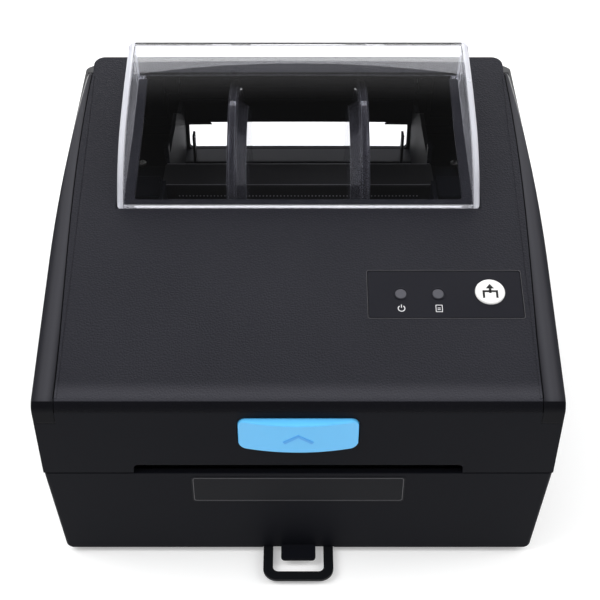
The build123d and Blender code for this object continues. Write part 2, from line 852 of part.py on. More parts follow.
# Release button: crescent front, flange behind the wall and a stem that reaches the lever
stem_top = latch_height - 9.0
stem_foot = latch_height - lever_length + 0.2
with BuildPart() as release:
    with BuildSketch(Plane.XY.offset(z_at(button_bottom))) as face:
        with BuildLine():
            ThreePointArc(
                (-button_half, y_at(-button_end_bulge)),
                (0, y_at(-button_mid_bulge)),
                (button_half, y_at(-button_end_bulge)),
            )
            Polyline(
                (button_half, y_at(-button_end_bulge)),
                (button_half, y_at(casing_wall)),
                (-button_half, y_at(casing_wall)),
                (-button_half, y_at(-button_end_bulge)),
            )
        make_face()
    extrude(amount=button_top - button_bottom)
    fillet(release.edges().filter_by(Axis.Y), 3.0)
    fillet(release.faces().filter_by(GeomType.CYLINDER).sort_by(Axis.Y)[0].edges(), 0.6)
    with BuildSketch(Plane.XZ.offset(-y_at(casing_wall + seat_gap))):
        with Locations((0, z_at((button_bottom + button_top) / 2))):
            Rectangle(2 * (button_half + button_lip), button_top - button_bottom + 2 * button_lip)
    extrude(amount=-button_flange)
    with BuildSketch(Plane.XZ.offset(-y_at(casing_wall))):
        with Locations((0, z_at((button_bottom + button_top) / 2))):
            Rectangle(2 * button_half - 4, button_top - button_bottom - 4)
    extrude(amount=-seat_gap)
    with BuildSketch(Plane.XZ.offset(-y_at(casing_wall + seat_gap))):
        with Locations((0, z_at((stem_foot + stem_top) / 2))):
            Rectangle(2 * lever_half, stem_top - stem_foot)
    extrude(amount=-(latch_depth - lever_thickness / 2 - 2 * seat_gap - casing_wall))
release.part.label = "open_button"
export_step(release.part, "parts/open_button.step")

# Hinge pins, pressed into the lid's knuckles and turning in the base's ears
with BuildPart() as hinge_pins:
    for near in (ear_near - knuckle_width, -ear_far - knuckle_width):
        with BuildSketch(Plane.YZ.offset(near)):
            with Locations(at(hinge_depth, hinge_height)):
                Circle(hinge_pin_radius)
        extrude(amount=ear_far - ear_near + 2 * knuckle_width)
hinge_pins.part.label = "hinge_pins"
export_step(hinge_pins.part, "parts/hinge_pins.step")

# Base shell: tapered sides, low front, hinge ears at the back and a floor with an open middle
seat_height = seam_height - seam_gap / 2
with BuildSketch(Plane.YZ) as base_side:
    with BuildLine():
        FilletPolyline(
            at(0, 0),
            at(0, seat_height),
            at(rise_foot_depth, seat_height),
            at(rise_top_depth, rise_height - seam_gap),
            at(hinge_depth + 2, rise_height - seam_gap),
            at(body_depth - 1, rise_height + 2.5),
            at(body_depth, rise_height + 2.5),
            at(body_depth, 0),
            close=True,
            radius=[0, 0, 4, 4, 0, 0, 0.5, 0],
        )
    make_face()


def base_section(inset, low):
    # Front view of the base: sides that spread towards the seam, then stand upright.
    taper = (half_width - base_bottom_half) / seam_height
    with BuildSketch(Plane.XZ) as section:
        with BuildLine():
            top = z_at(rise_height + 3)
            seam = z_at(seam_height)
            foot = base_bottom_half + low * taper - inset
            Polyline(
                (-foot, z_at(low)),
                (-half_width + inset, seam),
                (-half_width + inset, top),
                (half_width - inset, top),
                (half_width - inset, seam),
                (foot, z_at(low)),
                close=True,
            )
        make_face()
        if not inset:
            fillet(section.vertices().group_by(Axis.Y)[0], corner_radius)
    return section.sketch


with BuildSketch(Plane.YZ) as base_room:
    with Locations(at(casing_wall, floor_thickness)):
        Rectangle(body_depth - 2 * casing_wall, 2 * rise_height, align=(Align.MIN, Align.MIN))

with BuildPart() as base_cavity:
    extrude(base_room.sketch, amount=half_width, both=True)
    extrude(base_section(casing_wall, floor_thickness), amount=body_depth, both=True, mode=Mode.INTERSECT)

floor_length = floor_opening_back - floor_opening_front
floor_middle = y_at((floor_opening_front + floor_opening_back) / 2)
tray_screws = [(side * tray_boss_x, y_at(depth)) for side in (-1, 1) for depth in tray_boss_depths]
frame_screws = [(side * frame_screw_x, y_at(depth)) for side in (-1, 1) for depth in frame_screw_depths]
guide_pegs = [(side * guide_peg_spot, y_at((guide_front + guide_back) / 2)) for side in (-1, 1)]
plate_screws = [
    (side * (floor_opening_half - plate_step / 2), y_at(depth))
    for side in (-1, 1)
    for depth in (floor_opening_front + 22, floor_opening_back - 14)
]
with BuildPart() as base_shell:
    extrude(base_side.sketch, amount=half_width, both=True)
    extrude(base_section(0, 0), amount=body_depth, both=True, mode=Mode.INTERSECT)
    fillet(base_shell.edges().filter_by(Axis.Y, reverse=True).filter_by(Axis.X, reverse=True).group_by(Axis.Y)[0],
           corner_radius / 2)
    add(base_cavity.part, mode=Mode.SUBTRACT)
    # Ears round the hinge pins, standing on the back wall
    for side in (-1, 1):
        with BuildSketch(Plane.YZ.offset(side * hinge_ear_centre - hinge_ear_width / 2)):
            with Locations(at(hinge_depth, hinge_height)):
                Circle(hinge_ear_radius)
            with BuildLine():
                Polyline(
                    at(hinge_depth - hinge_ear_radius, hinge_height),
                    at(hinge_depth + hinge_ear_radius, hinge_height),
                    at(body_depth - 1, rise_height),
                    at(body_depth - 1, deck_height + 6),
                    at(hinge_depth - hinge_ear_radius, rise_height - 10),
                    close=True,
                )
            make_face()
            with Locations(at(hinge_depth, hinge_height)):
                Circle(hinge_pin_radius + running_fit, mode=Mode.SUBTRACT)
        extrude(amount=hinge_ear_width)
    # Floor opening, stepped for the bottom plate
    with BuildSketch(Plane.XY.offset(z_at(0))):
        with Locations((0, floor_middle)):
            RectangleRounded(2 * floor_opening_half, floor_length, 4)
    extrude(amount=plate_thickness, mode=Mode.SUBTRACT)
    with BuildSketch(Plane.XY.offset(z_at(0))):
        with Locations((0, floor_middle)):
            RectangleRounded(2 * (floor_opening_half - plate_step), floor_length - 2 * plate_step, 3)
    extrude(amount=2 * floor_thickness, mode=Mode.SUBTRACT)
    # Posts for the media tray
    with BuildSketch(Plane.XY.offset(z_at(floor_thickness))):
        with Locations(tray_screws):
            Circle(boss_radius)
    extrude(amount=deck_height - floor_thickness)
    with BuildSketch(Plane.XY.offset(z_at(deck_height))):
        with Locations(tray_screws):
            Circle(screw_radius)
    extrude(amount=-12, mode=Mode.SUBTRACT)
    # Bosses for the side frames and the bottom plate, and pegs for the bail's guide
    with BuildSketch(Plane.XY.offset(z_at(floor_thickness))):
        with Locations(frame_screws):
            Circle(boss_radius)
    extrude(amount=frame_foot - floor_thickness)
    with BuildSketch(Plane.XY.offset(z_at(plate_thickness))):
        with Locations(plate_screws):
            Circle(boss_radius - 1)
    extrude(amount=screw_length)
    with BuildSketch(Plane.XY.offset(z_at(plate_thickness))):
        with Locations(plate_screws):
            Circle(screw_radius)
    extrude(amount=screw_length - 1, mode=Mode.SUBTRACT)
    with BuildSketch(Plane.XY.offset(z_at(frame_foot))):
        with Locations(frame_screws):
            Circle(screw_radius)
    extrude(amount=-screw_length, mode=Mode.SUBTRACT)
    with BuildSketch(Plane.XY.offset(z_at(0))):
        with Locations(guide_pegs):
            Circle(screw_radius - running_fit)
    extrude(amount=-guide_thickness)
    # Recess in the floor for the bail, and the tongue above it
    with BuildSketch(Plane.XY.offset(z_at(0))):
        with Locations((0, y_at(-1))):
            Rectangle(bail_width + 2 * seat_gap, bail_inner_length + bail_travel + 2,
                      align=(Align.CENTER, Align.MIN))
    extrude(amount=bail_thickness + 0.2, mode=Mode.SUBTRACT)
    with BuildSketch(Plane.XY.offset(z_at(bail_thickness + 0.2))) as tongue:
        with Locations((0, y_at(casing_wall))):
            Rectangle(tongue_width, tongue_reach + casing_wall, align=(Align.CENTER, Align.MAX))
        fillet(tongue.vertices().group_by(Axis.Y)[0], 1.5)
    extrude(amount=tongue_thickness)
    # Rear media slot and the openings for the switch and the sockets
    with BuildSketch(Plane.XZ.offset(-y_at(body_depth - casing_wall - 1))):
        with Locations((0, z_at((rear_slot_bottom + rear_slot_top) / 2))):
            RectangleRounded(2 * rear_slot_half, rear_slot_top - rear_slot_bottom, 2)
        with Locations((switch_spot, z_at(switch_height))):
            Rectangle(switch_width, switch_tall)
        with Locations((jack_spot, z_at(board_top + jack_tall / 2))):
            Rectangle(jack_width + 2 * port_gap, jack_tall + 2 * port_gap)
        with Locations((usb_spot, z_at(board_top + usb_tall / 2))):
            Rectangle(usb_width + 2 * port_gap, usb_tall + 2 * port_gap)
    extrude(amount=-casing_wall - 2, mode=Mode.SUBTRACT)
    with BuildSketch(Plane.XZ.offset(-y_at(body_depth))):
        with Locations((switch_spot, z_at(switch_height))):
            Rectangle(switch_width + 2 * switch_rim + 2 * port_gap, switch_tall + 2 * switch_rim + 2 * port_gap)
    extrude(amount=switch_flange, mode=Mode.SUBTRACT)
base_shell.part.label = "base_shell"
export_step(base_shell.part, "parts/base_shell.step")

# Bottom plate, seated in the floor's step, with vents and the posts for the main board
plate_spots = [(side * plate_posts_x, y_at(depth)) for side in (-1, 1) for depth in plate_post_depths]
with BuildPart() as bottom_plate:
    with BuildSketch(Plane.XY.offset(z_at(0))):
        with Locations((0, floor_middle)):
            RectangleRounded(2 * (floor_opening_half - plate_gap), floor_length - 2 * plate_gap, 4 - plate_gap)
            with GridLocations(34, 6, 3, 5):
                Rectangle(24, 2.4, mode=Mode.SUBTRACT)
        with Locations(plate_screws):
            Circle(screw_radius + running_fit, mode=Mode.SUBTRACT)
    extrude(amount=plate_thickness)
    with BuildSketch(Plane.XY.offset(z_at(plate_thickness))):
        with Locations(plate_spots):
            Circle(boss_radius)
            Circle(screw_radius, mode=Mode.SUBTRACT)
    extrude(amount=board_height - plate_thickness)
bottom_plate.part.label = "bottom_plate"
export_step(bottom_plate.part, "parts/bottom_plate.step")

with BuildPart() as feet:
    with BuildSketch(Plane.XY):
        with Locations([(side * foot_spot, y_at(depth)) for side in (-1, 1) for depth in foot_depths]):
            Circle(foot_radius)
    extrude(amount=foot_drop)
    chamfer(feet.edges().filter_by(GeomType.CIRCLE).group_by(Axis.Z)[0], 0.5)
feet.part.label = "rubber_feet"
export_step(feet.part, "parts/rubber_feet.step")

# Flat bail, a ring that slides out from under the front edge
bail_length = bail_reach + bail_inner_length
bail_middle = y_at((bail_inner_length - bail_reach) / 2)
with BuildPart() as bail:
    with BuildSketch(Plane.XY.offset(z_at(0.1))):
        with Locations((0, bail_middle)):
            RectangleRounded(bail_width, bail_length, 5.5)
            RectangleRounded(bail_width - 2 * bail_bar, bail_length - 2 * bail_bar, 2.1, mode=Mode.SUBTRACT)
    extrude(amount=bail_thickness)
bail.part.label = "bail"
export_step(bail.part, "parts/bail.step")

with BuildPart() as guide:
    with BuildSketch(Plane.XY.offset(z_at(0))):
        with Locations((0, y_at((guide_front + guide_back) / 2))):
            RectangleRounded(2 * guide_half, guide_back - guide_front, 2)
        with Locations(guide_pegs):
            Circle(screw_radius, mode=Mode.SUBTRACT)
    extrude(amount=-guide_thickness)
guide.part.label = "bail_guide"
export_step(guide.part, "parts/bail_guide.step")

# Media tray: bridge, ramp, bay floor and rear ledge in one strip between two walls, with side decks
with BuildSketch(Plane.YZ) as bay_strip:
    with BuildLine():
        strip = FilletPolyline(
            at(bridge_front, bridge_height),
            at(bridge_back, bridge_height),
            at(bay_front, bay_floor),
            at(bay_back, bay_floor),
            at(bay_back, rear_slot_bottom),
            at(body_depth - casing_wall - seat_gap, rear_slot_bottom),
            radius=[8, 14, 4, 1.2],
        )
        offset(strip, amount=tray_wall, side=Side.RIGHT)
    make_face()

tray_end = body_depth - casing_wall - seat_gap
with BuildSketch(Plane.YZ) as bay_side:
    with BuildLine():
        FilletPolyline(
            at(bridge_front, bridge_height - tray_wall),
            at(bridge_front, bridge_height + 1.5),
            at(bay_front - 3, bridge_height + 1.5),
            at(bay_wall_foot, bay_wall_top),
            at(bay_wall_end, bay_wall_top),
            at(bay_wall_end + 13, bay_wall_top - 9),
            at(tray_end, rear_slot_top + 12),
            at(tray_end, rear_slot_bottom - tray_wall),
            at(bay_back + tray_wall, rear_slot_bottom - tray_wall),
            at(bay_back + tray_wall, bay_floor - tray_wall),
            at(bay_front - 3, bay_floor - tray_wall),
            at(bridge_back - 4, bridge_height - tray_wall),
            close=True,
            radius=[0, 0.7, 6, 6, 3, 3, 0, 0, 0, 3, 3, 3],
        )
    make_face()

with BuildSketch(Plane.YZ) as side_box:
    with BuildLine():
        FilletPolyline(
            at(box_front, box_foot),
            at(box_front, box_top),
            at(box_step, box_top),
            at(box_step, box_low_top),
            at(box_back, box_low_top),
            at(box_back, box_foot),
            close=True,
            radius=[0, 0.8, 0.8, 0.8, 0.8, 0],
        )
    make_face()

bar_foot = bar_top - bar_height
bar_middle = bar_top - bar_height / 2
outer_half = bay_half + tray_wall
with BuildPart() as tray:
    extrude(bay_strip.sketch, amount=outer_half, both=True)
    for side in (-1, 1):
        with BuildSketch(Plane.YZ.offset(side * (bay_half + tray_wall / 2) - tray_wall / 2)):
            add(bay_side.sketch_local)
        extrude(amount=tray_wall)
        with BuildSketch(Plane.YZ.offset(side * outer_half)):
            add(side_box.sketch_local)
        extrude(amount=side * (box_outer - outer_half))
        with BuildSketch(Plane.XY.offset(z_at(deck_height))):
            with Locations((side * (outer_half + deck_outer) / 2, y_at((deck_front + tray_end) / 2))):
                Rectangle(deck_outer - outer_half, tray_end - deck_front)
            with Locations(tray_screws):
                Circle(screw_radius + running_fit, mode=Mode.SUBTRACT)
        extrude(amount=tray_wall)
        # Notch, block and post that seat the guide bar
        with Locations((side * (bay_half + tray_wall / 2), y_at(bar_depth), z_at(bar_foot))):
            Box(2 * tray_wall, bar_width + 2 * slip_fit, 2 * bar_height, mode=Mode.SUBTRACT,
                align=(Align.CENTER, Align.CENTER, Align.MIN))
        with Locations((side * (bay_half + tray_wall / 2), y_at(bar_depth + bar_width / 2 + 2.5), z_at(bar_foot))):
            Box(tray_wall, 4, 80 - bar_foot, align=(Align.CENTER, Align.CENTER, Align.MIN))
        with BuildSketch(Plane.YZ.offset(side * fin_spot - 0.6)):
            with Locations(at(bay_back, rear_slot_bottom - tray_wall / 2)):
                Rectangle(5, fin_height - rear_slot_bottom, align=(Align.MIN, Align.MIN))
        extrude(amount=1.2)
    with BuildSketch(Plane.YZ.offset(-bay_half)):
        with Locations(at(tray_end - tray_wall, rear_slot_top + 0.5)):
            Rectangle(tray_wall, 11.5, align=(Align.MIN, Align.MIN))
    extrude(amount=2 * bay_half)
    with BuildSketch(Plane.XY.offset(z_at(bridge_height))):
        with Locations(((sensor_slot_left + sensor_slot_right) / 2, y_at(sensor_depth))):
            Rectangle(sensor_slot_right - sensor_slot_left, sensor_slot_width)
    extrude(amount=-2 * tray_wall, mode=Mode.SUBTRACT)
tray.part.label = "media_tray"
export_step(tray.part, "parts/media_tray.step")

# Gap sensor carriage, which slides across the bridge in the tray's slot
with BuildPart() as sensor:
    with BuildSketch(Plane.XY.offset(z_at(bridge_height + 0.1))):
        with Locations((0, y_at(sensor_depth))):
            RectangleRounded(2 * sensor_half, 14, 1.5)
    extrude(amount=1.2)
    with BuildSketch(Plane.XY.offset(z_at(bridge_height + 0.1))):
        with Locations((0, y_at(sensor_depth))):
            Rectangle(2 * sensor_stem_half, sensor_slot_width - 2 * running_fit)
    extrude(amount=-tray_wall - 0.2)
    with BuildSketch(Plane.XY.offset(z_at(bridge_height - tray_wall - 0.1))):
        with Locations((0, y_at(sensor_depth))):
            Rectangle(2 * sensor_half, 12)
    extrude(amount=-1.2)
sensor.part.label = "gap_sensor"
export_step(sensor.part, "parts/gap_sensor.step")

# Roll holder: a channel bar across the bay, two flanges on it, and a rack and pinion that centres them
rack_pitch = math.pi * rack_module
pinion_pitch_radius = rack_module * centring_teeth / 2
rack_foot = bar_foot + 1.5
rack_thickness = 3.0
with BuildPart() as bar:
    with BuildSketch(Plane.YZ.offset(-bar_half)) as channel:
        with Locations(at(bar_depth, bar_middle)):
            Rectangle(bar_width, bar_height)
        fillet(channel.vertices().group_by(Axis.Y)[-1], 1.2)
        with Locations(at(bar_depth, bar_foot)):
            Rectangle(bar_width - 2 * bar_sheet, 2 * (bar_height - bar_sheet), mode=Mode.SUBTRACT)
    extrude(amount=2 * bar_half)
    with BuildSketch(Plane.XY.offset(z_at(rack_foot - 0.3))):
        with Locations((0, y_at(bar_depth))):
            Circle(1.2)
    extrude(amount=bar_height - bar_sheet - 1)
bar.part.label = "guide_bar"
export_step(bar.part, "parts/guide_bar.step")


def tooth(module, count):
    # One straight-sided tooth as an outline, from inside the root circle to the tip.
    pitch_radius = module * count / 2
    root = pitch_radius - 1.2 * module
    tip = pitch_radius + 0.8 * module
    half = 0.40 * math.pi * module / 2
    lean = math.tan(math.radians(20))
    foot_half = half + 0.9 * module * lean
    tip_half = half - 0.8 * module * lean
    return Polyline(
        (root - module / 2, -foot_half),
        (root, -foot_half),
        (tip, -tip_half),
        (tip, tip_half),
        (root, foot_half),
        (root - module / 2, foot_half),
        close=True,
    )


def gear_face(module, count, bore, phase):
    # A spur gear seen along its axle.
    with BuildSketch() as tooth_face:
        with BuildLine():
            tooth(module, count)
        make_face()
    with BuildSketch() as face:
        Circle(module * (count / 2 - 1.2))
        with PolarLocations(0, count, start_angle=phase):
            add(tooth_face.sketch)
        Circle(bore, mode=Mode.SUBTRACT)
    return face.sketch


with BuildPart() as centring_pinion:
    with BuildSketch(Plane(origin=(0, y_at(bar_depth), z_at(rack_foot)))):
        add(gear_face(rack_module, centring_teeth, 1.25, 0))
    extrude(amount=rack_thickness)
centring_pinion.part.label = "centring_pinion"
export_step(centring_pinion.part, "parts/centring_pinion.step")

rack_line = pinion_pitch_radius + gear_slack / 2
rack_back = bar_width / 2 - bar_sheet - seat_gap
rack_far = outward_pitches * rack_pitch + 5
flange_outer = flange_inner + flange_rim
rack_heel = flange_outer + 2.4
hole_width = bar_width + 2 * seat_gap
hole_height = bar_height + 2 * seat_gap
for side, name in ((-1, "left"), (1, "right")):
    with BuildPart() as rack:
        with BuildSketch(Plane(origin=(0, y_at(bar_depth), z_at(rack_foot)), x_dir=(side, 0, 0), z_dir=(0, 0, 1))):
            with BuildLine():
                Polyline(
                    (-rack_far, rack_line + 1.2 * rack_module),
                    (rack_heel, rack_line + 1.2 * rack_module),
                    (rack_heel, rack_back),
                    (-rack_far, rack_back),
                    close=True,
                )
            make_face()
            teeth = int(2 * rack_far / rack_pitch) - 1
            for number in range(teeth):
                middle = (number + 0.5 - round(rack_far / rack_pitch) + 1) * rack_pitch
                with BuildLine():
                    Polyline(
                        (middle - 0.6 * rack_pitch / 2, rack_line + 1.3 * rack_module),
                        (middle - 0.2 * rack_pitch / 2, rack_line - 0.8 * rack_module),
                        (middle + 0.2 * rack_pitch / 2, rack_line - 0.8 * rack_module),
                        (middle + 0.6 * rack_pitch / 2, rack_line + 1.3 * rack_module),
                        close=True,
                    )
                make_face()
        extrude(amount=rack_thickness)
        with BuildSketch(Plane(origin=(0, y_at(bar_depth), z_at(rack_foot)), x_dir=(side, 0, 0), z_dir=(0, 0, 1))):
            with Locations((rack_heel, rack_line + 1.2 * rack_module)):
                Rectangle(6, rack_back - rack_line - 1.2 * rack_module, align=(Align.MAX, Align.MIN))
        extrude(amount=-(rack_foot - bar_foot + seat_gap))
    rack.part.label = f"{name}_rack"
    export_step(rack.part, f"parts/{name}_rack.step")

    with BuildPart() as flange:
        with BuildSketch(Plane(origin=(0, y_at(bar_depth), z_at(bar_middle)), x_dir=(side, 0, 0), z_dir=(0, -side, 0))):
            with BuildLine():
                Polyline(
                    (flange_inner - flange_dish, 0),
                    (flange_inner - flange_dish, flange_dish_radius - 1.5),
                    (flange_inner + 1.2, flange_dish_radius + 1.5),
                    (flange_inner + 1.2, flange_radius - flange_rim),
                    (flange_inner, flange_radius - flange_rim + 0.6),
                    (flange_inner, flange_radius - 0.8),
                    (flange_inner + 0.8, flange_radius),
                    (flange_outer - 0.8, flange_radius),
                    (flange_outer, flange_radius - 0.8),
                    (flange_outer, flange_radius - flange_rim + 0.6),
                    (flange_outer - 1.2, flange_radius - flange_rim),
                    (flange_outer - 1.2, flange_dish_radius),
                    (flange_inner - flange_dish + 2.2, flange_dish_radius - 3),
                    (flange_inner - flange_dish + 2.2, 0),
                    close=True,
                )
            make_face()
        revolve(axis=Axis((0, y_at(bar_depth), z_at(bar_middle)), (1, 0, 0)))
        with BuildSketch(Plane.YZ.offset(side * (flange_inner - flange_dish + 1))):
            with Locations(at(bar_depth, bar_middle)):
                RectangleRounded(hole_width + 5, hole_height + 5, 2)
        extrude(amount=side * (rack_heel - flange_inner + flange_dish - 1))
        with BuildSketch(Plane.YZ.offset(side * (flange_inner - flange_dish - 1))):
            with Locations(at(bar_depth, bar_middle)):
                Rectangle(hole_width, hole_height)
        extrude(amount=side * (flange_dish + flange_rim + 8), mode=Mode.SUBTRACT)
    flange.part.label = f"{name}_flange"
    export_step(flange.part, f"parts/{name}_flange.step")

# Side frames of the print mechanism, sheet metal with an open slot for the platen
idler_reach = gear_module * (platen_teeth + idler_small_teeth) / 2 + gear_slack
motor_reach = idler_module * (idler_teeth + pinion_teeth) / 2 + gear_slack
idler_depth = platen_depth + idler_reach * math.cos(math.radians(idler_angle))
idler_height = platen_height + idler_reach * math.sin(math.radians(idler_angle))
motor_depth = idler_depth + motor_reach * math.cos(math.radians(motor_angle))
motor_height = idler_height + motor_reach * math.sin(math.radians(motor_angle))
frame_outer = frame_inner + frame_sheet
frame_top = deck_height - 0.5
for side, name in ((-1, "left"), (1, "right")):
    with BuildPart() as frame:
        with BuildSketch(Plane.YZ.offset(side * frame_inner)):
            with BuildLine():
                FilletPolyline(
                    at(frame_front, frame_foot),
                    at(frame_front, seat_height - 0.3),
                    at(frame_tower_back, seat_height - 0.3),
                    at(frame_tower_back, frame_top),
                    at(frame_back, frame_top),
                    at(frame_back, frame_foot),
                    close=True,
                    radius=[0, 2, 2, 1.5, 4, 0],
                )
            make_face()
            with Locations(at(platen_depth, platen_height)):
                Circle(bushing_radius + slip_fit, mode=Mode.SUBTRACT)
                Rectangle(2 * (bushing_radius + slip_fit), 20, align=(Align.CENTER, Align.MIN), mode=Mode.SUBTRACT)
            with Locations(at(motor_depth, motor_height)):
                Circle(motor_boss, mode=Mode.SUBTRACT)
            with Locations(at(frame_front + 9, frame_foot + 12)):
                Circle(4.5, mode=Mode.SUBTRACT)
        extrude(amount=side * frame_sheet)
        with BuildSketch(Plane.XY.offset(z_at(frame_foot))):
            with Locations((side * (frame_outer + frame_flange / 2), y_at((frame_front + frame_back) / 2))):
                Rectangle(frame_flange, frame_back - frame_front)
            with Locations(frame_screws):
                Circle(screw_radius + running_fit, mode=Mode.SUBTRACT)
        extrude(amount=frame_sheet)
    frame.part.label = f"{name}_frame"
    export_step(frame.part, f"parts/{name}_frame.step")

with BuildPart() as bushings:
    for side in (-1, 1):
        for start, length, radius in (
            (frame_inner - 1.5, frame_sheet + 1.5, bushing_radius),
            (frame_outer, bushing_reach, bushing_flange),
        ):
            with BuildSketch(Plane.YZ.offset(side * start)):
                with Locations(at(platen_depth, platen_height)):
                    Circle(radius)
                    Circle(shaft_radius + running_fit, mode=Mode.SUBTRACT)
            extrude(amount=side * length)
bushings.part.label = "platen_bushings"
export_step(bushings.part, "parts/platen_bushings.step")

with BuildPart() as catch_pins:
    for side in (-1, 1):
        with BuildSketch(Plane.YZ.offset(side * frame_outer)):
            with Locations(at(catch_depth, catch_height)):
                Circle(catch_radius)
        extrude(amount=side * (hook_far + 0.5 - frame_outer))
catch_pins.part.label = "catch_pins"
export_step(catch_pins.part, "parts/catch_pins.step")

# Platen roller on its shaft, and the gear train from the motor
with BuildPart() as roller:
    with BuildSketch(Plane.YZ):
        with Locations(at(platen_depth, platen_height)):
            Circle(platen_radius)
            Circle(shaft_radius, mode=Mode.SUBTRACT)
    extrude(amount=platen_half, both=True)
roller.part.label = "platen_roller"
export_step(roller.part, "parts/platen_roller.step")

with BuildPart() as platen_shaft:
    with BuildSketch(Plane.YZ.offset(-hook_far + 0.5)):
        with Locations(at(platen_depth, platen_height)):
            Circle(shaft_radius)
    extrude(amount=hook_far - 0.5 + gear_plane + gear_width + 0.5)
    chamfer(platen_shaft.edges().filter_by(GeomType.CIRCLE), 0.4)
platen_shaft.part.label = "platen_shaft"
export_step(platen_shaft.part, "parts/platen_shaft.step")


def gear_plane_at(across, depth, height):
    return Plane(origin=(across, y_at(depth), z_at(height)), x_dir=(0, 1, 0), z_dir=(1, 0, 0))


with BuildPart() as platen_gear:
    with BuildSketch(gear_plane_at(gear_plane, platen_depth, platen_height)):
        add(gear_face(gear_module, platen_teeth, shaft_radius, idler_angle))
    extrude(amount=gear_width)
platen_gear.part.label = "platen_gear"
export_step(platen_gear.part, "parts/platen_gear.step")

with BuildPart() as idler_gear:
    with BuildSketch(gear_plane_at(gear_plane, idler_depth, idler_height)):
        add(gear_face(gear_module, idler_small_teeth, post_radius + running_fit,
                      idler_angle + 180 + 180 / idler_small_teeth))
    extrude(amount=big_gear_plane - gear_plane)
    with BuildSketch(gear_plane_at(big_gear_plane, idler_depth, idler_height)):
        add(gear_face(idler_module, idler_teeth, post_radius + running_fit, motor_angle))
    extrude(amount=big_gear_width)
idler_gear.part.label = "idler_gear"
export_step(idler_gear.part, "parts/idler_gear.step")

with BuildPart() as idler_post:
    for start, end, radius in (
        (frame_outer, gear_plane - seat_gap, 2 * post_radius),
        (gear_plane - seat_gap, big_gear_plane + big_gear_width + seat_gap, post_radius),
        (big_gear_plane + big_gear_width + seat_gap, big_gear_plane + big_gear_width + 1.2, 1.6 * post_radius),
    ):
        with BuildSketch(gear_plane_at(start, idler_depth, idler_height)):
            Circle(radius)
        extrude(amount=end - start)
idler_post.part.label = "idler_post"
export_step(idler_post.part, "parts/idler_post.step")

with BuildPart() as motor:
    with BuildSketch(gear_plane_at(frame_inner - motor_length, motor_depth, motor_height)) as can:
        Rectangle(motor_side, motor_side)
        chamfer(can.vertices(), 3)
    extrude(amount=motor_length)
    with BuildSketch(gear_plane_at(frame_inner, motor_depth, motor_height)):
        Circle(motor_boss - 0.1)
    extrude(amount=frame_sheet)
    with BuildSketch(gear_plane_at(frame_outer, motor_depth, motor_height)):
        Circle(motor_shaft_radius + running_fit)
    extrude(amount=-4, mode=Mode.SUBTRACT)
motor.part.label = "feed_motor"
export_step(motor.part, "parts/feed_motor.step")

with BuildPart() as motor_shaft:
    with BuildSketch(gear_plane_at(frame_outer - 3.8, motor_depth, motor_height)):
        Circle(motor_shaft_radius)
    extrude(amount=big_gear_plane + big_gear_width + 0.8 - frame_outer + 3.8)
motor_shaft.part.label = "motor_shaft"
export_step(motor_shaft.part, "parts/motor_shaft.step")

with BuildPart() as motor_pinion:
    with BuildSketch(gear_plane_at(big_gear_plane - 0.4, motor_depth, motor_height)):
        add(gear_face(idler_module, pinion_teeth, motor_shaft_radius, motor_angle + 180 + 180 / pinion_teeth))
    extrude(amount=big_gear_width + 0.8)
motor_pinion.part.label = "motor_pinion"
export_step(motor_pinion.part, "parts/motor_pinion.step")

# Main board with the two sockets that reach through the back wall
board_middle = y_at((main_board_front + main_board_back) / 2)
with BuildPart() as main_board:
    with BuildSketch(Plane.XY.offset(z_at(board_height))):
        with Locations((0, board_middle)):
            Rectangle(2 * main_board_half, main_board_back - main_board_front)
        with Locations(plate_spots):
            Circle(screw_radius + running_fit, mode=Mode.SUBTRACT)
    extrude(amount=board_thickness)
    # Chips, capacitors and headers on top of the board
    with BuildSketch(Plane.XY.offset(z_at(board_top))):
        with Locations((-8, board_middle - 4)):
            Rectangle(20, 20)
        with Locations((24, board_middle - 20)):
            Rectangle(10, 18)
        with Locations((-34, board_middle - 34), (-14, board_middle - 46), (30, board_middle - 46)):
            Rectangle(14, 5)
    extrude(amount=2)
    with BuildSketch(Plane.XY.offset(z_at(board_top))):
        with Locations((-42, board_middle + 8), (-30, board_middle + 8), (36, board_middle + 20)):
            Circle(4)
    extrude(amount=9)
main_board.part.label = "main_board"
export_step(main_board.part, "parts/main_board.step")

port_length = body_depth - port_front
with BuildPart() as jack:
    with BuildSketch(Plane.XZ.offset(-y_at(body_depth))):
        with Locations((jack_spot, z_at(board_top + jack_tall / 2))):
            Rectangle(jack_width, jack_tall)
    extrude(amount=port_length)
    with BuildSketch(Plane.XZ.offset(-y_at(body_depth))):
        with Locations((jack_spot, z_at(board_top + jack_tall / 2))):
            Circle(3.15)
            Circle(1, mode=Mode.SUBTRACT)
    extrude(amount=port_length - 4, mode=Mode.SUBTRACT)
jack.part.label = "power_socket"
export_step(jack.part, "parts/power_socket.step")

with BuildPart() as usb:
    with BuildSketch(Plane.XZ.offset(-y_at(body_depth))):
        with Locations((usb_spot, z_at(board_top + usb_tall / 2))):
            Rectangle(usb_width, usb_tall)
    extrude(amount=port_length)
    with BuildSketch(Plane.XZ.offset(-y_at(body_depth))):
        with Locations((usb_spot, z_at(board_top + usb_tall / 2))):
            Rectangle(usb_width - 3, usb_tall - 2.6)
        with Locations((usb_spot, z_at(board_top + usb_tall / 2 + 2))):
            Rectangle(usb_width - 6.4, 3.2, mode=Mode.SUBTRACT)
    extrude(amount=port_length - 4, mode=Mode.SUBTRACT)
usb.part.label = "data_socket"
export_step(usb.part, "parts/data_socket.step")

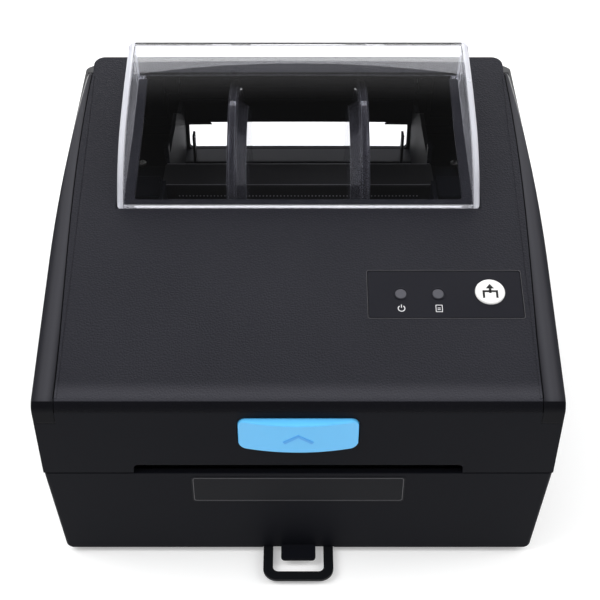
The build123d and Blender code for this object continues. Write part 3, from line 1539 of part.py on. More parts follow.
# Power switch: a housing let into the back wall, with a rocker on two short pins
with BuildPart() as switch:
    with BuildSketch(Plane.XZ.offset(-y_at(body_depth))):
        with Locations((switch_spot, z_at(switch_height))):
            Rectangle(switch_width + 2 * switch_rim, switch_tall + 2 * switch_rim)
    extrude(amount=switch_flange)
    with BuildSketch(Plane.XZ.offset(-y_at(body_depth))):
        with Locations((switch_spot, z_at(switch_height))):
            Rectangle(switch_width - 2 * port_gap, switch_tall - 2 * port_gap)
    extrude(amount=switch_body_depth)
    with BuildSketch(Plane.XZ.offset(-y_at(body_depth))):
        with Locations((switch_spot, z_at(switch_height))):
            Rectangle(2 * rocker_window_half, rocker_window_tall)
    extrude(amount=switch_body_depth - 3, mode=Mode.SUBTRACT)
    with BuildSketch(Plane.YZ.offset(switch_spot)):
        with Locations(at(rocker_pivot, switch_height)):
            Circle(rocker_pin + running_fit)
    extrude(amount=rocker_window_half + 1, both=True, mode=Mode.SUBTRACT)
switch.part.label = "switch_housing"
export_step(switch.part, "parts/switch_housing.step")

rocker_lean = math.tan(math.radians(rocker_swing))
with BuildPart() as rocker:
    with BuildSketch(Plane.YZ.offset(switch_spot)):
        with BuildLine():
            Polyline(
                at(rocker_pivot - 2.5, switch_height - rocker_tall / 2),
                at(rocker_pivot - 2.5, switch_height + rocker_tall / 2),
                at(rocker_pivot + 3, switch_height + rocker_tall / 2),
                at(rocker_pivot + 3 - rocker_lean * rocker_tall / 2, switch_height),
                at(rocker_pivot + 3, switch_height - rocker_tall / 2),
                close=True,
            )
        make_face()
    extrude(amount=rocker_half, both=True)
    with BuildSketch(Plane.YZ.offset(switch_spot)):
        with Locations(at(rocker_pivot, switch_height)):
            Circle(rocker_pin)
    extrude(amount=rocker_window_half + 0.8, both=True)
rested = rocker.part.rotate(Axis((0, y_at(rocker_pivot), z_at(switch_height)), (1, 0, 0)), rocker_swing)
rested.label = "power_rocker"
export_step(rested, "parts/power_rocker.step")


# Screws, one node for each group of them
with BuildPart() as screw:
    with BuildSketch():
        Circle(screw_head)
    extrude(amount=screw_head_height)
    chamfer(screw.edges().filter_by(GeomType.CIRCLE).group_by(Axis.Z)[-1], 0.4)
    with BuildSketch():
        Circle(screw_radius - slip_fit)
    extrude(amount=0.4 - screw_length)
    with BuildSketch(Plane.XY.offset(screw_head_height)):
        Rectangle(2.4, 0.5)
        Rectangle(0.5, 2.4)
    extrude(amount=-0.8, mode=Mode.SUBTRACT)


def write_screws(name, plane, spots):
    # A pan head stands on the plane at each spot, its shank below the plane.
    placed = [plane.location * Location((x, y, 0)) * screw.part for x, y in spots]
    group = Compound(children=[Compound(one.solids()) for one in placed])
    group.label = name
    export_step(group, f"parts/{name}.step")


write_screws("tray_screws", Plane.XY.offset(z_at(deck_height + tray_wall)), tray_screws)
write_screws("frame_screws", Plane.XY.offset(z_at(frame_foot + frame_sheet)), frame_screws)
write_screws("board_screws", Plane.XY.offset(z_at(board_top)), plate_spots)
write_screws("plate_screws", Plane(origin=(0, 0, z_at(0)), x_dir=(1, 0, 0), z_dir=(0, 0, -1)),
             [(x, -y) for x, y in plate_screws])
under_liner = slope_plane(liner_under)
under_board = slope_plane(board_drop + board_thickness)
for name, up, spots in (("liner_screws", under_liner, liner_bosses), ("panel_screws", under_board, board_bosses)):
    down = Plane(origin=up.origin, x_dir=up.x_dir, z_dir=-up.z_dir)
    write_screws(name, down, [(x, -y) for x, y in spots])
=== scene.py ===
import json
import math

import bmesh
import bpy
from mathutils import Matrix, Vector


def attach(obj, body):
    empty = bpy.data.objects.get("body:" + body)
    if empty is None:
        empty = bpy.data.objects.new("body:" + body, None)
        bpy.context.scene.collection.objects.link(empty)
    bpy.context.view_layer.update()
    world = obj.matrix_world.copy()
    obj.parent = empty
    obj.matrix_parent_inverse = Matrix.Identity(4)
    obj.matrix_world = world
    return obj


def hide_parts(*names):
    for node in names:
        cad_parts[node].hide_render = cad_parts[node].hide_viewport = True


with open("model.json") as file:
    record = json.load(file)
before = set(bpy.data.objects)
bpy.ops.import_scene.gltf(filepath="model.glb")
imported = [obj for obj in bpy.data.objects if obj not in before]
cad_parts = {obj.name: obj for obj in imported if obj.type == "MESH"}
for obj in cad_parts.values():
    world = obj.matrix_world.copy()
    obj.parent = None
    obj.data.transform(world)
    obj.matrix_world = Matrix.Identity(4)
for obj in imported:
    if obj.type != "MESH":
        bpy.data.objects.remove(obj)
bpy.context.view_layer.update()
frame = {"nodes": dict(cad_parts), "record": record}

# Places on the printer, in metres, as in the solids: widths run from its middle, depths back from
# the casing's front face, and heights up from the casing's bottom edge, which stands on low feet.
FRONT_Y = -0.1052
FOOT_DROP = 0.002
ROOF_ANGLE = math.radians(13.34)
ROOF_FOOT = 0.08274
BUTTON_HEIGHT = 0.0689
BUTTON_PROUD = 0.0036
BUTTON_CURVE = 0.0927
LENS_SPOTS = (0.0384, 0.0524)
LENS_DEPTH = 0.047
LENS_RADIUS = 0.0021
FEED_SPOT = 0.0719
FEED_DEPTH = 0.0477
FEED_PROUD = 0.0006
ICON_DEPTH = 0.0405
BEZEL_X = 0.05495
BEZEL_DEPTH = 0.04675
BEZEL_HALF_WIDE = 0.02875
BEZEL_HALF_LONG = 0.01053
BEZEL_CORNER = 0.0010
PLATE_HALF = 0.0402
PLATE_LOW = 0.0297
PLATE_HIGH = 0.0440
PLATE_CORNER = 0.0012


def roof_height(depth):
    return ROOF_FOOT + depth * math.tan(ROOF_ANGLE)


def spot(x, depth, height):
    return Vector((x, FRONT_Y + depth, FOOT_DROP + height))


def on_roof(x, depth, lift):
    # A point over the sloping panel, lifted along the slope's normal.
    return spot(x, depth - lift * math.sin(ROOF_ANGLE),
                roof_height(depth) + lift * math.cos(ROOF_ANGLE))


# Nodes


def fill(tree, socket, value):
    # Links an input to another node's output, or sets it to a plain value.
    if isinstance(value, bpy.types.NodeSocket):
        tree.links.new(value, socket)
    else:
        socket.default_value = value


def add_node(tree, kind, **inputs):
    # A new node with its named inputs filled. An underscore stands for a space.
    made = tree.nodes.new(kind)
    for key, value in inputs.items():
        fill(tree, made.inputs[key.replace("_", " ")], value)
    return made


def worked(tree, kind, operation, *values):
    # A Math or Vector Math node with its first inputs filled.
    made = tree.nodes.new(kind)
    made.operation = operation
    for socket, value in zip(made.inputs, values):
        fill(tree, socket, value)
    return made


def joined(tree, operation, *values):
    # One Math node after another over the values.
    total = values[0]
    for value in values[1:]:
        total = worked(tree, "ShaderNodeMath", operation, total, value).outputs[0]
    return total


def graded(tree, value, start, end, low, high, smooth=False):
    # Takes a value from start to end over to low to high, which may be levels or other outputs.
    made = add_node(tree, "ShaderNodeMapRange", Value=value, From_Min=start, From_Max=end,
                    To_Min=low, To_Max=high)
    made.interpolation_type = "SMOOTHSTEP" if smooth else "LINEAR"
    return made.outputs["Result"]


def color_sockets(sockets):
    # Those of a node's inputs or outputs that carry a colour.
    return [socket for socket in sockets if socket.type == "RGBA"]


# Materials. The scales of their noise are in waves a metre, and their depths in metres.

BEVEL_SAMPLES = 6
EDGE_SAMPLES = 8
# How alike the bevelled and the true normal are where a painted edge highlight starts, and where it
# is full
EDGE_TURN = (0.995, 0.85)
# How far from the view a clear surface turns before it counts as edge on: start, and in full
EDGE_ON = (0.6, 0.95)
ACRYLIC_IOR = 1.49
TONE_LIFT = 0.001


def toned(color, share, lift=0.0):
    return tuple(c * share + lift for c in color)


class Paint:
    # A node material under construction, with a Principled shader at its end.
    def __init__(self, name, color, roughness, specular=0.5, **fixed):
        self.material = bpy.data.materials.new(name)
        self.material.use_nodes = True
        self.tree = self.material.node_tree
        self.shader = self.tree.nodes["Principled BSDF"]
        self.shader.inputs["Base Color"].default_value = (*color, 1)
        self.shader.inputs["Roughness"].default_value = roughness
        self.shader.inputs["Specular IOR Level"].default_value = specular
        for key, value in fixed.items():
            self.shader.inputs[key.replace("_", " ")].default_value = value
        self.color = color
        self.roughness = roughness
        self.normal = None
        self.place = self.tree.nodes.new("ShaderNodeTexCoord").outputs["Object"]

    def node(self, kind, **inputs):
        return add_node(self.tree, kind, **inputs)

    def stretched(self, scale):
        return self.node("ShaderNodeMapping", Vector=self.place, Scale=scale).outputs["Vector"]

    def noise(self, scale, detail=3.0, place=None):
        return self.node("ShaderNodeTexNoise", Vector=place or self.place, Scale=scale,
                         Detail=detail).outputs["Fac"]

    def bevel(self, radius):
        made = self.node("ShaderNodeBevel", Radius=radius)
        made.samples = BEVEL_SAMPLES
        self.normal = made.outputs["Normal"]
        return self

    def bump(self, height, distance, strength=1.0):
        made = self.node("ShaderNodeBump", Height=height, Distance=distance, Strength=strength)
        if self.normal:
            fill(self.tree, made.inputs["Normal"], self.normal)
        self.normal = made.outputs["Normal"]
        return self

    def spread_roughness(self, value, low, high):
        # Roughness from low, where the value is 0, to high, where it is 1.
        spread = graded(self.tree, value, 0.0, 1.0, low, high)
        fill(self.tree, self.shader.inputs["Roughness"], spread)
        return self

    def vary_roughness(self, value, amount):
        return self.spread_roughness(value, self.roughness - amount, self.roughness + amount)

    def vary_color(self, value, other):
        # Lays another colour over the present one, as strongly as the value says.
        base = self.shader.inputs["Base Color"]
        mix = self.node("ShaderNodeMix")
        mix.data_type = "RGBA"
        under, over = color_sockets(mix.inputs)
        fill(self.tree, under, base.links[0].from_socket if base.is_linked else (*self.color, 1))
        fill(self.tree, over, (*other, 1))
        fill(self.tree, mix.inputs["Factor"], value)
        fill(self.tree, base, color_sockets(mix.outputs)[0])
        return self

    def painted_sheen_band(self, axis, stops, other):
        # Paints a sheen band: lays another colour over the present one along an axis of the piece,
        # alike to both sides of the middle, as strongly as the stops say: pairs of a place in
        # metres and a share.
        across = self.node("ShaderNodeSeparateXYZ", Vector=self.place).outputs[axis]
        away = worked(self.tree, "ShaderNodeMath", "ABSOLUTE", across).outputs[0]
        (start, _), (end, _) = stops[0], stops[-1]
        along = graded(self.tree, away, start, end, 0.0, 1.0)
        curve = self.node("ShaderNodeValToRGB", Fac=along)
        curve.color_ramp.interpolation = "EASE"
        while len(curve.color_ramp.elements) < len(stops):
            curve.color_ramp.elements.new(0.5)
        for element, (place, share) in zip(curve.color_ramp.elements, stops):
            element.position = (place - start) / (end - start)
            element.color = (share, share, share, 1)
        return self.vary_color(curve.outputs["Color"], other)

    def painted_edge_highlight(self, radius, other):
        # Paints highlights: mixes another colour in along the edges, found by how far a bevel turns
        # the normal there.
        rounded_off = self.node("ShaderNodeBevel", Radius=radius)
        rounded_off.samples = EDGE_SAMPLES
        true_normal = self.tree.nodes.new("ShaderNodeNewGeometry").outputs["Normal"]
        turned = worked(self.tree, "ShaderNodeVectorMath", "DOT_PRODUCT",
                        rounded_off.outputs["Normal"], true_normal)
        near = graded(self.tree, turned.outputs["Value"], *EDGE_TURN, 0.0, 1.0)
        return self.vary_color(near, other)

    def done(self):
        if self.normal:
            fill(self.tree, self.shader.inputs["Normal"], self.normal)
        return self.material


def moulded(name, color, roughness, grain=0.00035, depth=0.00002, specular=0.5, edge=0.0003,
            painted_sheen=None, **fixed):
    # Injection-moulded plastic: a fine spark texture, slight cloudiness and softened edges.
    cloud_scale, cloud_share, lighter = 28.0, 0.12, 1.18
    paint = Paint(name, color, roughness, specular, **fixed).bevel(edge)
    cloud = paint.noise(cloud_scale)
    paint.bump(paint.noise(1 / grain, detail=2.0), depth)
    paint.vary_roughness(cloud, roughness * cloud_share)
    paint.vary_color(cloud, toned(color, lighter, TONE_LIFT))
    # A painted sheen band, lighter where light would catch, if one is given
    if painted_sheen:
        paint.painted_sheen_band(*painted_sheen)
    return paint.done()


def leather(name, color, roughness, specular, painted_sheen=None):
    # The top panel's moulded leather grain: small rounded cells with creases between them, which
    # are rougher than the cells' tops, over a soft unevenness.
    edge, cloud_scale, lighter = 0.0005, 22.0, 1.2
    cell_scale, cell_round, cell_depth, cell_strength = 900.0, 0.28, 0.00009, 0.8
    warp_scale, warp_reach = 420.0, 0.0011
    uneven_scale, uneven_depth, uneven_strength = 160.0, 0.00012, 0.5
    crease_rougher, top_smoother = 0.12, 0.05
    paint = Paint(name, color, roughness, specular).bevel(edge)
    warp = paint.node("ShaderNodeTexNoise", Vector=paint.place, Scale=warp_scale, Detail=2.0)
    moved = worked(paint.tree, "ShaderNodeVectorMath", "SCALE", warp.outputs["Color"])
    moved.inputs["Scale"].default_value = warp_reach
    warped = worked(paint.tree, "ShaderNodeVectorMath", "ADD", paint.place, moved.outputs["Vector"])
    cells = paint.node("ShaderNodeTexVoronoi", Vector=warped.outputs["Vector"], Scale=cell_scale)
    cells.feature = "DISTANCE_TO_EDGE"
    pillow = graded(paint.tree, cells.outputs["Distance"], 0.0, cell_round, 0.0, 1.0, smooth=True)
    paint.bump(pillow, cell_depth, cell_strength)
    paint.bump(paint.noise(uneven_scale), uneven_depth, uneven_strength)
    paint.spread_roughness(pillow, roughness + crease_rougher, roughness - top_smoother)
    paint.vary_color(paint.noise(cloud_scale), toned(color, lighter, TONE_LIFT))
    # A painted sheen band, lighter where light would catch, if one is given
    if painted_sheen:
        paint.painted_sheen_band(*painted_sheen)
    return paint.done()


def clear(name, color, roughness, shade, face, rim, edge=None):
    # Clear moulded plastic, a little uneven in gloss. It lets the share face of the light through
    # where it is seen head on and the share rim where it is seen edge on, so that its thickness
    # shows pale: a painted glint where the edges would catch the light. The lamps shine straight
    # through it, dimmed to shade.
    haze_scale, haze_share = 90.0, 0.5
    paint = Paint(name, color, roughness, IOR=ACRYLIC_IOR, Transmission_Weight=face)
    paint.vary_roughness(paint.noise(haze_scale, detail=4.0), roughness * haze_share)
    # Painted highlights along the edges, if given
    if edge:
        paint.painted_edge_highlight(*edge)
    tree = paint.tree
    facing = add_node(tree, "ShaderNodeLayerWeight", Blend=0.5).outputs["Facing"]
    passed = graded(tree, facing, *EDGE_ON, face, rim, smooth=True)
    fill(tree, paint.shader.inputs["Transmission Weight"], passed)
    to_lamp = tree.nodes.new("ShaderNodeLightPath").outputs["Is Shadow Ray"]
    through = add_node(tree, "ShaderNodeBsdfTransparent", Color=(shade, shade, shade, 1))
    either = tree.nodes.new("ShaderNodeMixShader")
    sources = (to_lamp, paint.shader.outputs[0], through.outputs[0])
    for socket, source in zip(either.inputs, sources):
        fill(tree, socket, source)
    fill(tree, tree.nodes["Material Output"].inputs["Surface"], either.outputs[0])
    return paint.done()


def metal(name, color, roughness, stretch=(1.0, 40.0, 40.0), edge=0.0002):
    # Plated or extruded metal with the fine lines of its rolling, and slightly darker patches.
    line_scale, line_depth, line_strength, line_share = 60.0, 0.00003, 0.5, 0.35
    patch_scale, darker = 45.0, 0.86
    paint = Paint(name, color, roughness, Metallic=1.0).bevel(edge)
    lines = paint.noise(line_scale, detail=5.0, place=paint.stretched(stretch))
    paint.bump(lines, line_depth, line_strength)
    paint.vary_roughness(lines, roughness * line_share)
    return paint.vary_color(paint.noise(patch_scale), toned(color, darker)).done()


def circuit(name):
    # Solder mask with a pattern of copper tracks showing lighter under it.
    mask, track, roughness = (0.012, 0.10, 0.045), (0.03, 0.22, 0.09), 0.35
    track_scale, track_wide, track_depth, track_strength = 260.0, 0.05, 0.00003, 0.6
    paint = Paint(name, mask, roughness)
    cells = paint.node("ShaderNodeTexBrick", Vector=paint.place, Scale=track_scale,
                       Color1=(0, 0, 0, 1), Color2=(0.4, 0.4, 0.4, 1), Mortar=(1, 1, 1, 1),
                       Mortar_Size=track_wide)
    paint.bump(cells.outputs["Fac"], track_depth, track_strength)
    return paint.vary_color(cells.outputs["Fac"], track).done()


def brushed(name, color, roughness):
    # Plastic with fine straight lines, as on the roll bar.
    edge, stretch, lighter = 0.0003, (30.0, 1.0, 1.0), 1.5
    line_scale, line_depth, line_strength, line_share = 80.0, 0.00002, 0.6, 0.2
    paint = Paint(name, color, roughness).bevel(edge)
    lines = paint.noise(line_scale, detail=4.0, place=paint.stretched(stretch))
    paint.bump(lines, line_depth, line_strength)
    paint.vary_roughness(lines, roughness * line_share)
    return paint.vary_color(lines, toned(color, lighter)).done()


# Painted sheen: an axis, places from the middle with a share each, and the lighter colour. A
# painted sheen lies on the top panel near its front lip, and a painted highlight along the wings'
# middle.
LIP_PAINTED_SHEEN = ("Y", ((0.0945, 0.0), (0.1005, 1.0), (0.1025, 0.85), (0.1040, 0.0)),
            (0.036, 0.036, 0.044))
WING_PAINTED_HIGHLIGHT = ("X", ((0.0868, 0.0), (0.0900, 1.0), (0.0918, 0.8), (0.0945, 0.0)),
             (0.044, 0.044, 0.051))
# Painted highlights along the roll flanges' edges: how wide, and their colour
FLANGE_EDGE_HIGHLIGHT = (0.0006, (0.75, 0.75, 0.82))

# One material for each finish of the record, with its colour and roughness
slot_materials = {
    "shell": moulded("casing_plastic", (0.0056, 0.006, 0.0085), 0.55, specular=0.06, edge=0.0004),
    "panel": leather("panel_leather_grain", (0.0155, 0.0157, 0.0208), 0.5, 0.14, LIP_PAINTED_SHEEN),
    "wing": moulded("wing_plastic", (0.0125, 0.0125, 0.016), 0.34, specular=0.2, edge=0.0015,
                    painted_sheen=WING_PAINTED_HIGHLIGHT),
    "clear": clear("window_acrylic", (0.95, 0.955, 1.0), 0.002, shade=0.9, face=1.0, rim=0.45),
    "smoke": clear("flange_smoke", (0.10, 0.10, 0.12), 0.05, shade=0.5, face=0.8, rim=0.4,
                   edge=FLANGE_EDGE_HIGHLIGHT),
    "button": moulded("button_blue", (0.118, 0.52, 0.93), 0.34, edge=0.0006, Coat_Weight=0.25),
    "white": moulded("key_white", (0.78, 0.78, 0.77), 0.4, edge=0.0004),
    "bezel": moulded("bezel_film", (0.0092, 0.0094, 0.0138), 0.42, specular=0.2, edge=0.0002),
    "lens": moulded("lens_milky", (0.08, 0.08, 0.093), 0.25, edge=0.0004),
    "inner": moulded("inner_plastic", (0.009, 0.0098, 0.0135), 0.55, specular=0.12),
    "bar": brushed("bar_plastic", (0.018, 0.018, 0.019), 0.42),
    "gear": moulded("acetal_white", (0.62, 0.60, 0.54), 0.42, edge=0.0001),
    "steel": metal("zinc_sheet", (0.56, 0.56, 0.55), 0.34),
    "spring": metal("spring_wire", (0.6, 0.6, 0.6), 0.22, (4.0, 4.0, 20.0), edge=0.00005),
    "sink": metal("sink_aluminium", (0.7, 0.71, 0.72), 0.3),
    "ceramic": moulded("head_glaze", (0.16, 0.075, 0.04), 0.18, edge=0.0002),
    "rubber": moulded("rubber_black", (0.012, 0.012, 0.012), 0.78, grain=0.0002, depth=0.00004,
                      specular=0.25),
    "board": circuit("board_mask"),
    "motor": moulded("motor_enamel", (0.05, 0.05, 0.055), 0.4, edge=0.0005),
    "bronze": metal("bushing_bronze", (0.52, 0.33, 0.14), 0.45),
    "socket": metal("socket_shell", (0.62, 0.62, 0.62), 0.28),
    "black": moulded("black_plastic", (0.0062, 0.0068, 0.0082), 0.42, specular=0.12),
}
for entry in frame["record"]["subparts"]:
    piece = frame["nodes"][entry["node"]]
    piece.data.materials.clear()
    piece.data.materials.append(slot_materials[entry["material_slot"]])

# The upright fronts of the top panel's lip and of the wings take darker copies of their materials,
# as painted shade: faces whose normal points forward by more than this
UPRIGHT = -0.5
lip_painted_shade = leather("panel_lip_grain", (0.0045, 0.0046, 0.0064), 0.5, 0.05)
wing_front_painted_shade = moulded("wing_front_plastic", (0.0045, 0.0047, 0.0062), 0.4, specular=0.05,
                     edge=0.0008)
for name, material in (("top_panel", lip_painted_shade), ("left_wing", wing_front_painted_shade),
                       ("right_wing", wing_front_painted_shade)):
    mesh = frame["nodes"][name].data
    mesh.materials.append(material)
    for polygon in mesh.polygons:
        if polygon.normal.y < UPRIGHT:
            polygon.material_index = 1

# Materials of the pieces added over the solids
ink_white = moulded("printed_white", (0.62, 0.62, 0.64), 0.5, edge=0.00005)
ink_black = moulded("printed_black", (0.006, 0.006, 0.007), 0.5, edge=0.00005)
chevron_blue = moulded("chevron_blue", (0.07, 0.36, 0.80), 0.4, edge=0.0001)
plate_film = moulded("plate_film", (0.0066, 0.007, 0.0092), 0.4, specular=0.08, edge=0.0001)
joint_black = moulded("joint_black", (0.0015, 0.0015, 0.002), 0.6, specular=0.04, edge=0.00005)
line_grey = moulded("line_grey", (0.062, 0.062, 0.068), 0.5, edge=0.00005)
# Painted highlight for the roll bar's edges
bar_edge_painted_highlight = brushed("bar_edge_painted_highlight", (0.16, 0.16, 0.17), 0.3)
comb_pale = moulded("comb_pale", (0.42, 0.42, 0.45), 0.4, edge=0.00005)
# Paler clear plastic for the hood's sides and rolled rim: a painted glint where the thick edge
# catches light
window_rim_painted_glint = clear("window_rim_painted_glint", (0.86, 0.87, 0.95), 0.22, shade=0.9, face=0.42, rim=0.42)


# Shapes of the pieces added over the solids

CORNER_STEPS = 6


def add_object(name, shape, material):
    mesh = bpy.data.meshes.new(name)
    shape.normal_update()
    shape.to_mesh(mesh)
    shape.free()
    mesh.materials.append(material)
    made = bpy.data.objects.new(name, mesh)
    bpy.context.scene.collection.objects.link(made)
    return made


def add_piece(name, shape, body, material, smooth_below=None):
    # A piece of closed skins, all facing out, which moves with a body. Its edges are smooth where
    # they turn by less than smooth_below.
    bmesh.ops.recalc_face_normals(shape, faces=shape.faces)
    if smooth_below:
        for face in shape.faces:
            face.smooth = True
        for edge in shape.edges:
            edge.smooth = edge.calc_face_angle(0) < smooth_below
    piece = add_object(name, shape, material)
    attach(piece, body)
    return piece


def arc(cx, cy, radius, start, end, steps):
    points = []
    for step in range(steps + 1):
        turn = math.radians(start + (end - start) * step / steps)
        points.append((cx + radius * math.cos(turn), cy + radius * math.sin(turn)))
    return points


def ring(radius, count):
    return arc(0, 0, radius, 0, 360 - 360 / count, count - 1)


def rounded(half_wide, half_tall, radius):
    # Outline of a rounded rectangle, as points in its own plane.
    points = []
    for sx, sy, start in ((1, 1, 0), (-1, 1, 90), (-1, -1, 180), (1, -1, 270)):
        points += arc(sx * (half_wide - radius), sy * (half_tall - radius), radius,
                      start, start + 90, CORNER_STEPS)
    return points


def grown(outline, by):
    # The outline pushed out from its middle, by the same distance each way.
    return [(x + math.copysign(by, x), y + math.copysign(by, y)) for x, y in outline]


def strip(half, tall):
    return [(-half, 0), (half, 0), (half, tall), (-half, tall)]


def stroke(points, width):
    # Outline of an open line of the given width, through two or more points.
    left, right = [], []
    for i, (x, y) in enumerate(points):
        before = points[max(i - 1, 0)]
        after = points[min(i + 1, len(points) - 1)]
        dx, dy = after[0] - before[0], after[1] - before[1]
        length = math.hypot(dx, dy)
        nx, ny = -dy / length * width / 2, dx / length * width / 2
        left.append((x + nx, y + ny))
        right.append((x - nx, y - ny))
    return left + right[::-1]


def walled(shape, low_row, high_row):
    # Joins two closed rows of points with a wall of faces.
    for i in range(len(low_row)):
        j = (i + 1) % len(low_row)
        shape.faces.new((low_row[i], low_row[j], high_row[j], high_row[i]))


def slab(shape, outline, place, thickness):
    # Adds a thin plate with the given outline.
    top = [shape.verts.new(place(x, y, thickness)) for x, y in outline]
    bottom = [shape.verts.new(place(x, y, 0.0)) for x, y in outline]
    shape.faces.new(top)
    shape.faces.new(bottom[::-1])
    walled(shape, bottom, top)


def band(shape, outer, inner, place, thickness):
    # Adds a flat ring between two outlines with the same number of points.
    rows = []
    for outline, lift in ((outer, 0.0), (outer, thickness), (inner, thickness), (inner, 0.0)):
        rows.append([shape.verts.new(place(x, y, lift)) for x, y in outline])
    for row, following in zip(rows, rows[1:] + rows[:1]):
        walled(shape, row, following)


# Places on the printer for a flat outline, as functions of its x and y and of the height over the
# face. The last is such a function, and the others make one.


def roof_place(cx, depth, lift=0.0):
    # On the sloping panel, with y running up the slope.
    def place(x, y, up):
        return on_roof(cx + x, depth + y * math.cos(ROOF_ANGLE), lift + up)
    return place


def seam_place(side):
    # Over the left or the right edge of the panel, with y running back.
    def place(x, depth, up):
        return on_roof(side * x, depth, up)
    return place


def front_place(cx, depth, height):
    # On an upright face that looks forward, with y running up.
    def place(x, y, up):
        return spot(cx + x, depth - up, height + y)
    return place


def level_place(depth, height):
    # On a level face, with y running back.
    def place(x, y, up):
        return spot(x, depth + y, height + up)
    return place


def button_place(x, y, up):
    # On the button's curved face, with y running up.
    return spot(x, x * x / (2 * BUTTON_CURVE) - BUTTON_PROUD - up, BUTTON_HEIGHT + y)


# Trim and marks

FILM = 0.00012

# Bare plate on the base's front, with a fine pale border: its inset and corner, outside and in
PLATE_BORDER = ((0.0006, 0.0010), (0.00085, 0.0008))
BORDER_PROUD = 0.00004
plate_tall = (PLATE_HIGH - PLATE_LOW) / 2
on_plate = front_place(0, 0, (PLATE_LOW + PLATE_HIGH) / 2)
shape = bmesh.new()
slab(shape, rounded(PLATE_HALF, plate_tall, PLATE_CORNER), on_plate, FILM)
add_piece("front_plate", shape, "base", plate_film)
shape = bmesh.new()
outer, inner = [rounded(PLATE_HALF - inset, plate_tall - inset, corner)
                for inset, corner in PLATE_BORDER]
band(shape, outer, inner, on_plate, FILM + BORDER_PROUD)
add_piece("front_plate_border", shape, "base", line_grey)

# Generic marks under the lenses: a power sign and a sheet with two lines
POWER_RADIUS = 0.00125
POWER_FROM = 125
POWER_TO = 415
POWER_STEPS = 20
POWER_BAR = ((0, 0.0003), (0, 0.0017))
POWER_LINE = 0.00032
SHEET_OUTER = (0.0013, 0.0016, 0.0002)
SHEET_INNER = (0.00105, 0.00135, 0.00015)
SHEET_LINES = (-0.0005, 0.0002)
SHEET_LINE_HALF = 0.0006
SHEET_LINE = 0.00025
shape = bmesh.new()
place = roof_place(LENS_SPOTS[0], ICON_DEPTH)
power_arc = arc(0, 0, POWER_RADIUS, POWER_FROM, POWER_TO, POWER_STEPS)
for points in (power_arc, POWER_BAR):
    slab(shape, stroke(points, POWER_LINE), place, FILM)
place = roof_place(LENS_SPOTS[1], ICON_DEPTH)
band(shape, rounded(*SHEET_OUTER), rounded(*SHEET_INNER), place, FILM)
for y in SHEET_LINES:
    line = stroke([(-SHEET_LINE_HALF, y), (SHEET_LINE_HALF, y)], SHEET_LINE)
    slab(shape, line, place, FILM)
add_piece("bezel_marks", shape, "lid", ink_white)

# Dark joint round the control bezel, and a fine pale line outside it: how far out each starts
# and ends
BEZEL_JOINT = (0.0002, 0.0003)
BEZEL_LINE = (0.0003, 0.00047)
bezel_outline = rounded(BEZEL_HALF_WIDE, BEZEL_HALF_LONG, BEZEL_CORNER)
for name, (start, end), material in (("bezel_joint", BEZEL_JOINT, joint_black),
                                     ("bezel_line", BEZEL_LINE, line_grey)):
    shape = bmesh.new()
    band(shape, grown(bezel_outline, start), grown(bezel_outline, end),
         roof_place(BEZEL_X, BEZEL_DEPTH), FILM)
    add_piece(name, shape, "lid", material)

# Feed key's mark: an upright arrow out of a tray
ARROW_SHAFT = ((0, -0.0008), (0, 0.0018))
ARROW_WIDE = 0.0009
ARROW_HEAD = ((-0.0015, 0.0013), (0, 0.0033), (0.0015, 0.0013))
TRAY_FLOOR = ((-0.0029, 0), (0.0029, 0))
TRAY_LEGS = (((-0.0025, 0), (-0.0025, -0.003)), ((0.0025, -0.003), (0.0025, 0)))
TRAY_WIDE = 0.0008
shape = bmesh.new()
place = roof_place(FEED_SPOT, FEED_DEPTH, FEED_PROUD)
slab(shape, stroke(ARROW_SHAFT, ARROW_WIDE), place, FILM)
slab(shape, ARROW_HEAD, place, FILM)
for line in (TRAY_FLOOR, *TRAY_LEGS):
    slab(shape, stroke(line, TRAY_WIDE), place, FILM)
add_piece("feed_mark", shape, "feed_key", ink_black)

# Raised chevron on the front button, pointing up for opening
CHEVRON = ((-0.0052, -0.0018), (0.0, 0.0018), (0.0052, -0.0018))
CHEVRON_WIDE = 0.0012
shape = bmesh.new()
slab(shape, stroke(CHEVRON, CHEVRON_WIDE), button_place, 2 * FILM)
add_piece("button_chevron", shape, "release_button", chevron_blue)

# Painted highlights along the roll bar's edges, and a row of pale teeth along its front
BAR_TOP = 0.0715
BAR_HALF = 0.0612
BAR_FRONT = 0.1430
BAR_BACK = 0.1590
BAR_EDGE = 0.00035
TOOTH = 0.0005
TOOTH_PITCH = 0.0016
TEETH_EACH_WAY = 34
TEETH_HEIGHT = 0.0652
shape = bmesh.new()
# Painted highlight strips along the bar's front and back edges
for depth in (BAR_FRONT, BAR_BACK - BAR_EDGE):
    slab(shape, strip(BAR_HALF, BAR_EDGE), level_place(depth, BAR_TOP), FILM)
add_piece("painted_bar_highlights", shape, "base", bar_edge_painted_highlight)
shape = bmesh.new()
for tooth in range(-TEETH_EACH_WAY, TEETH_EACH_WAY + 1):
    place = front_place(tooth * TOOTH_PITCH, BAR_FRONT, TEETH_HEIGHT)
    slab(shape, strip(TOOTH / 2, TOOTH), place, 2 * FILM)
add_piece("comb_teeth", shape, "base", comb_pale)

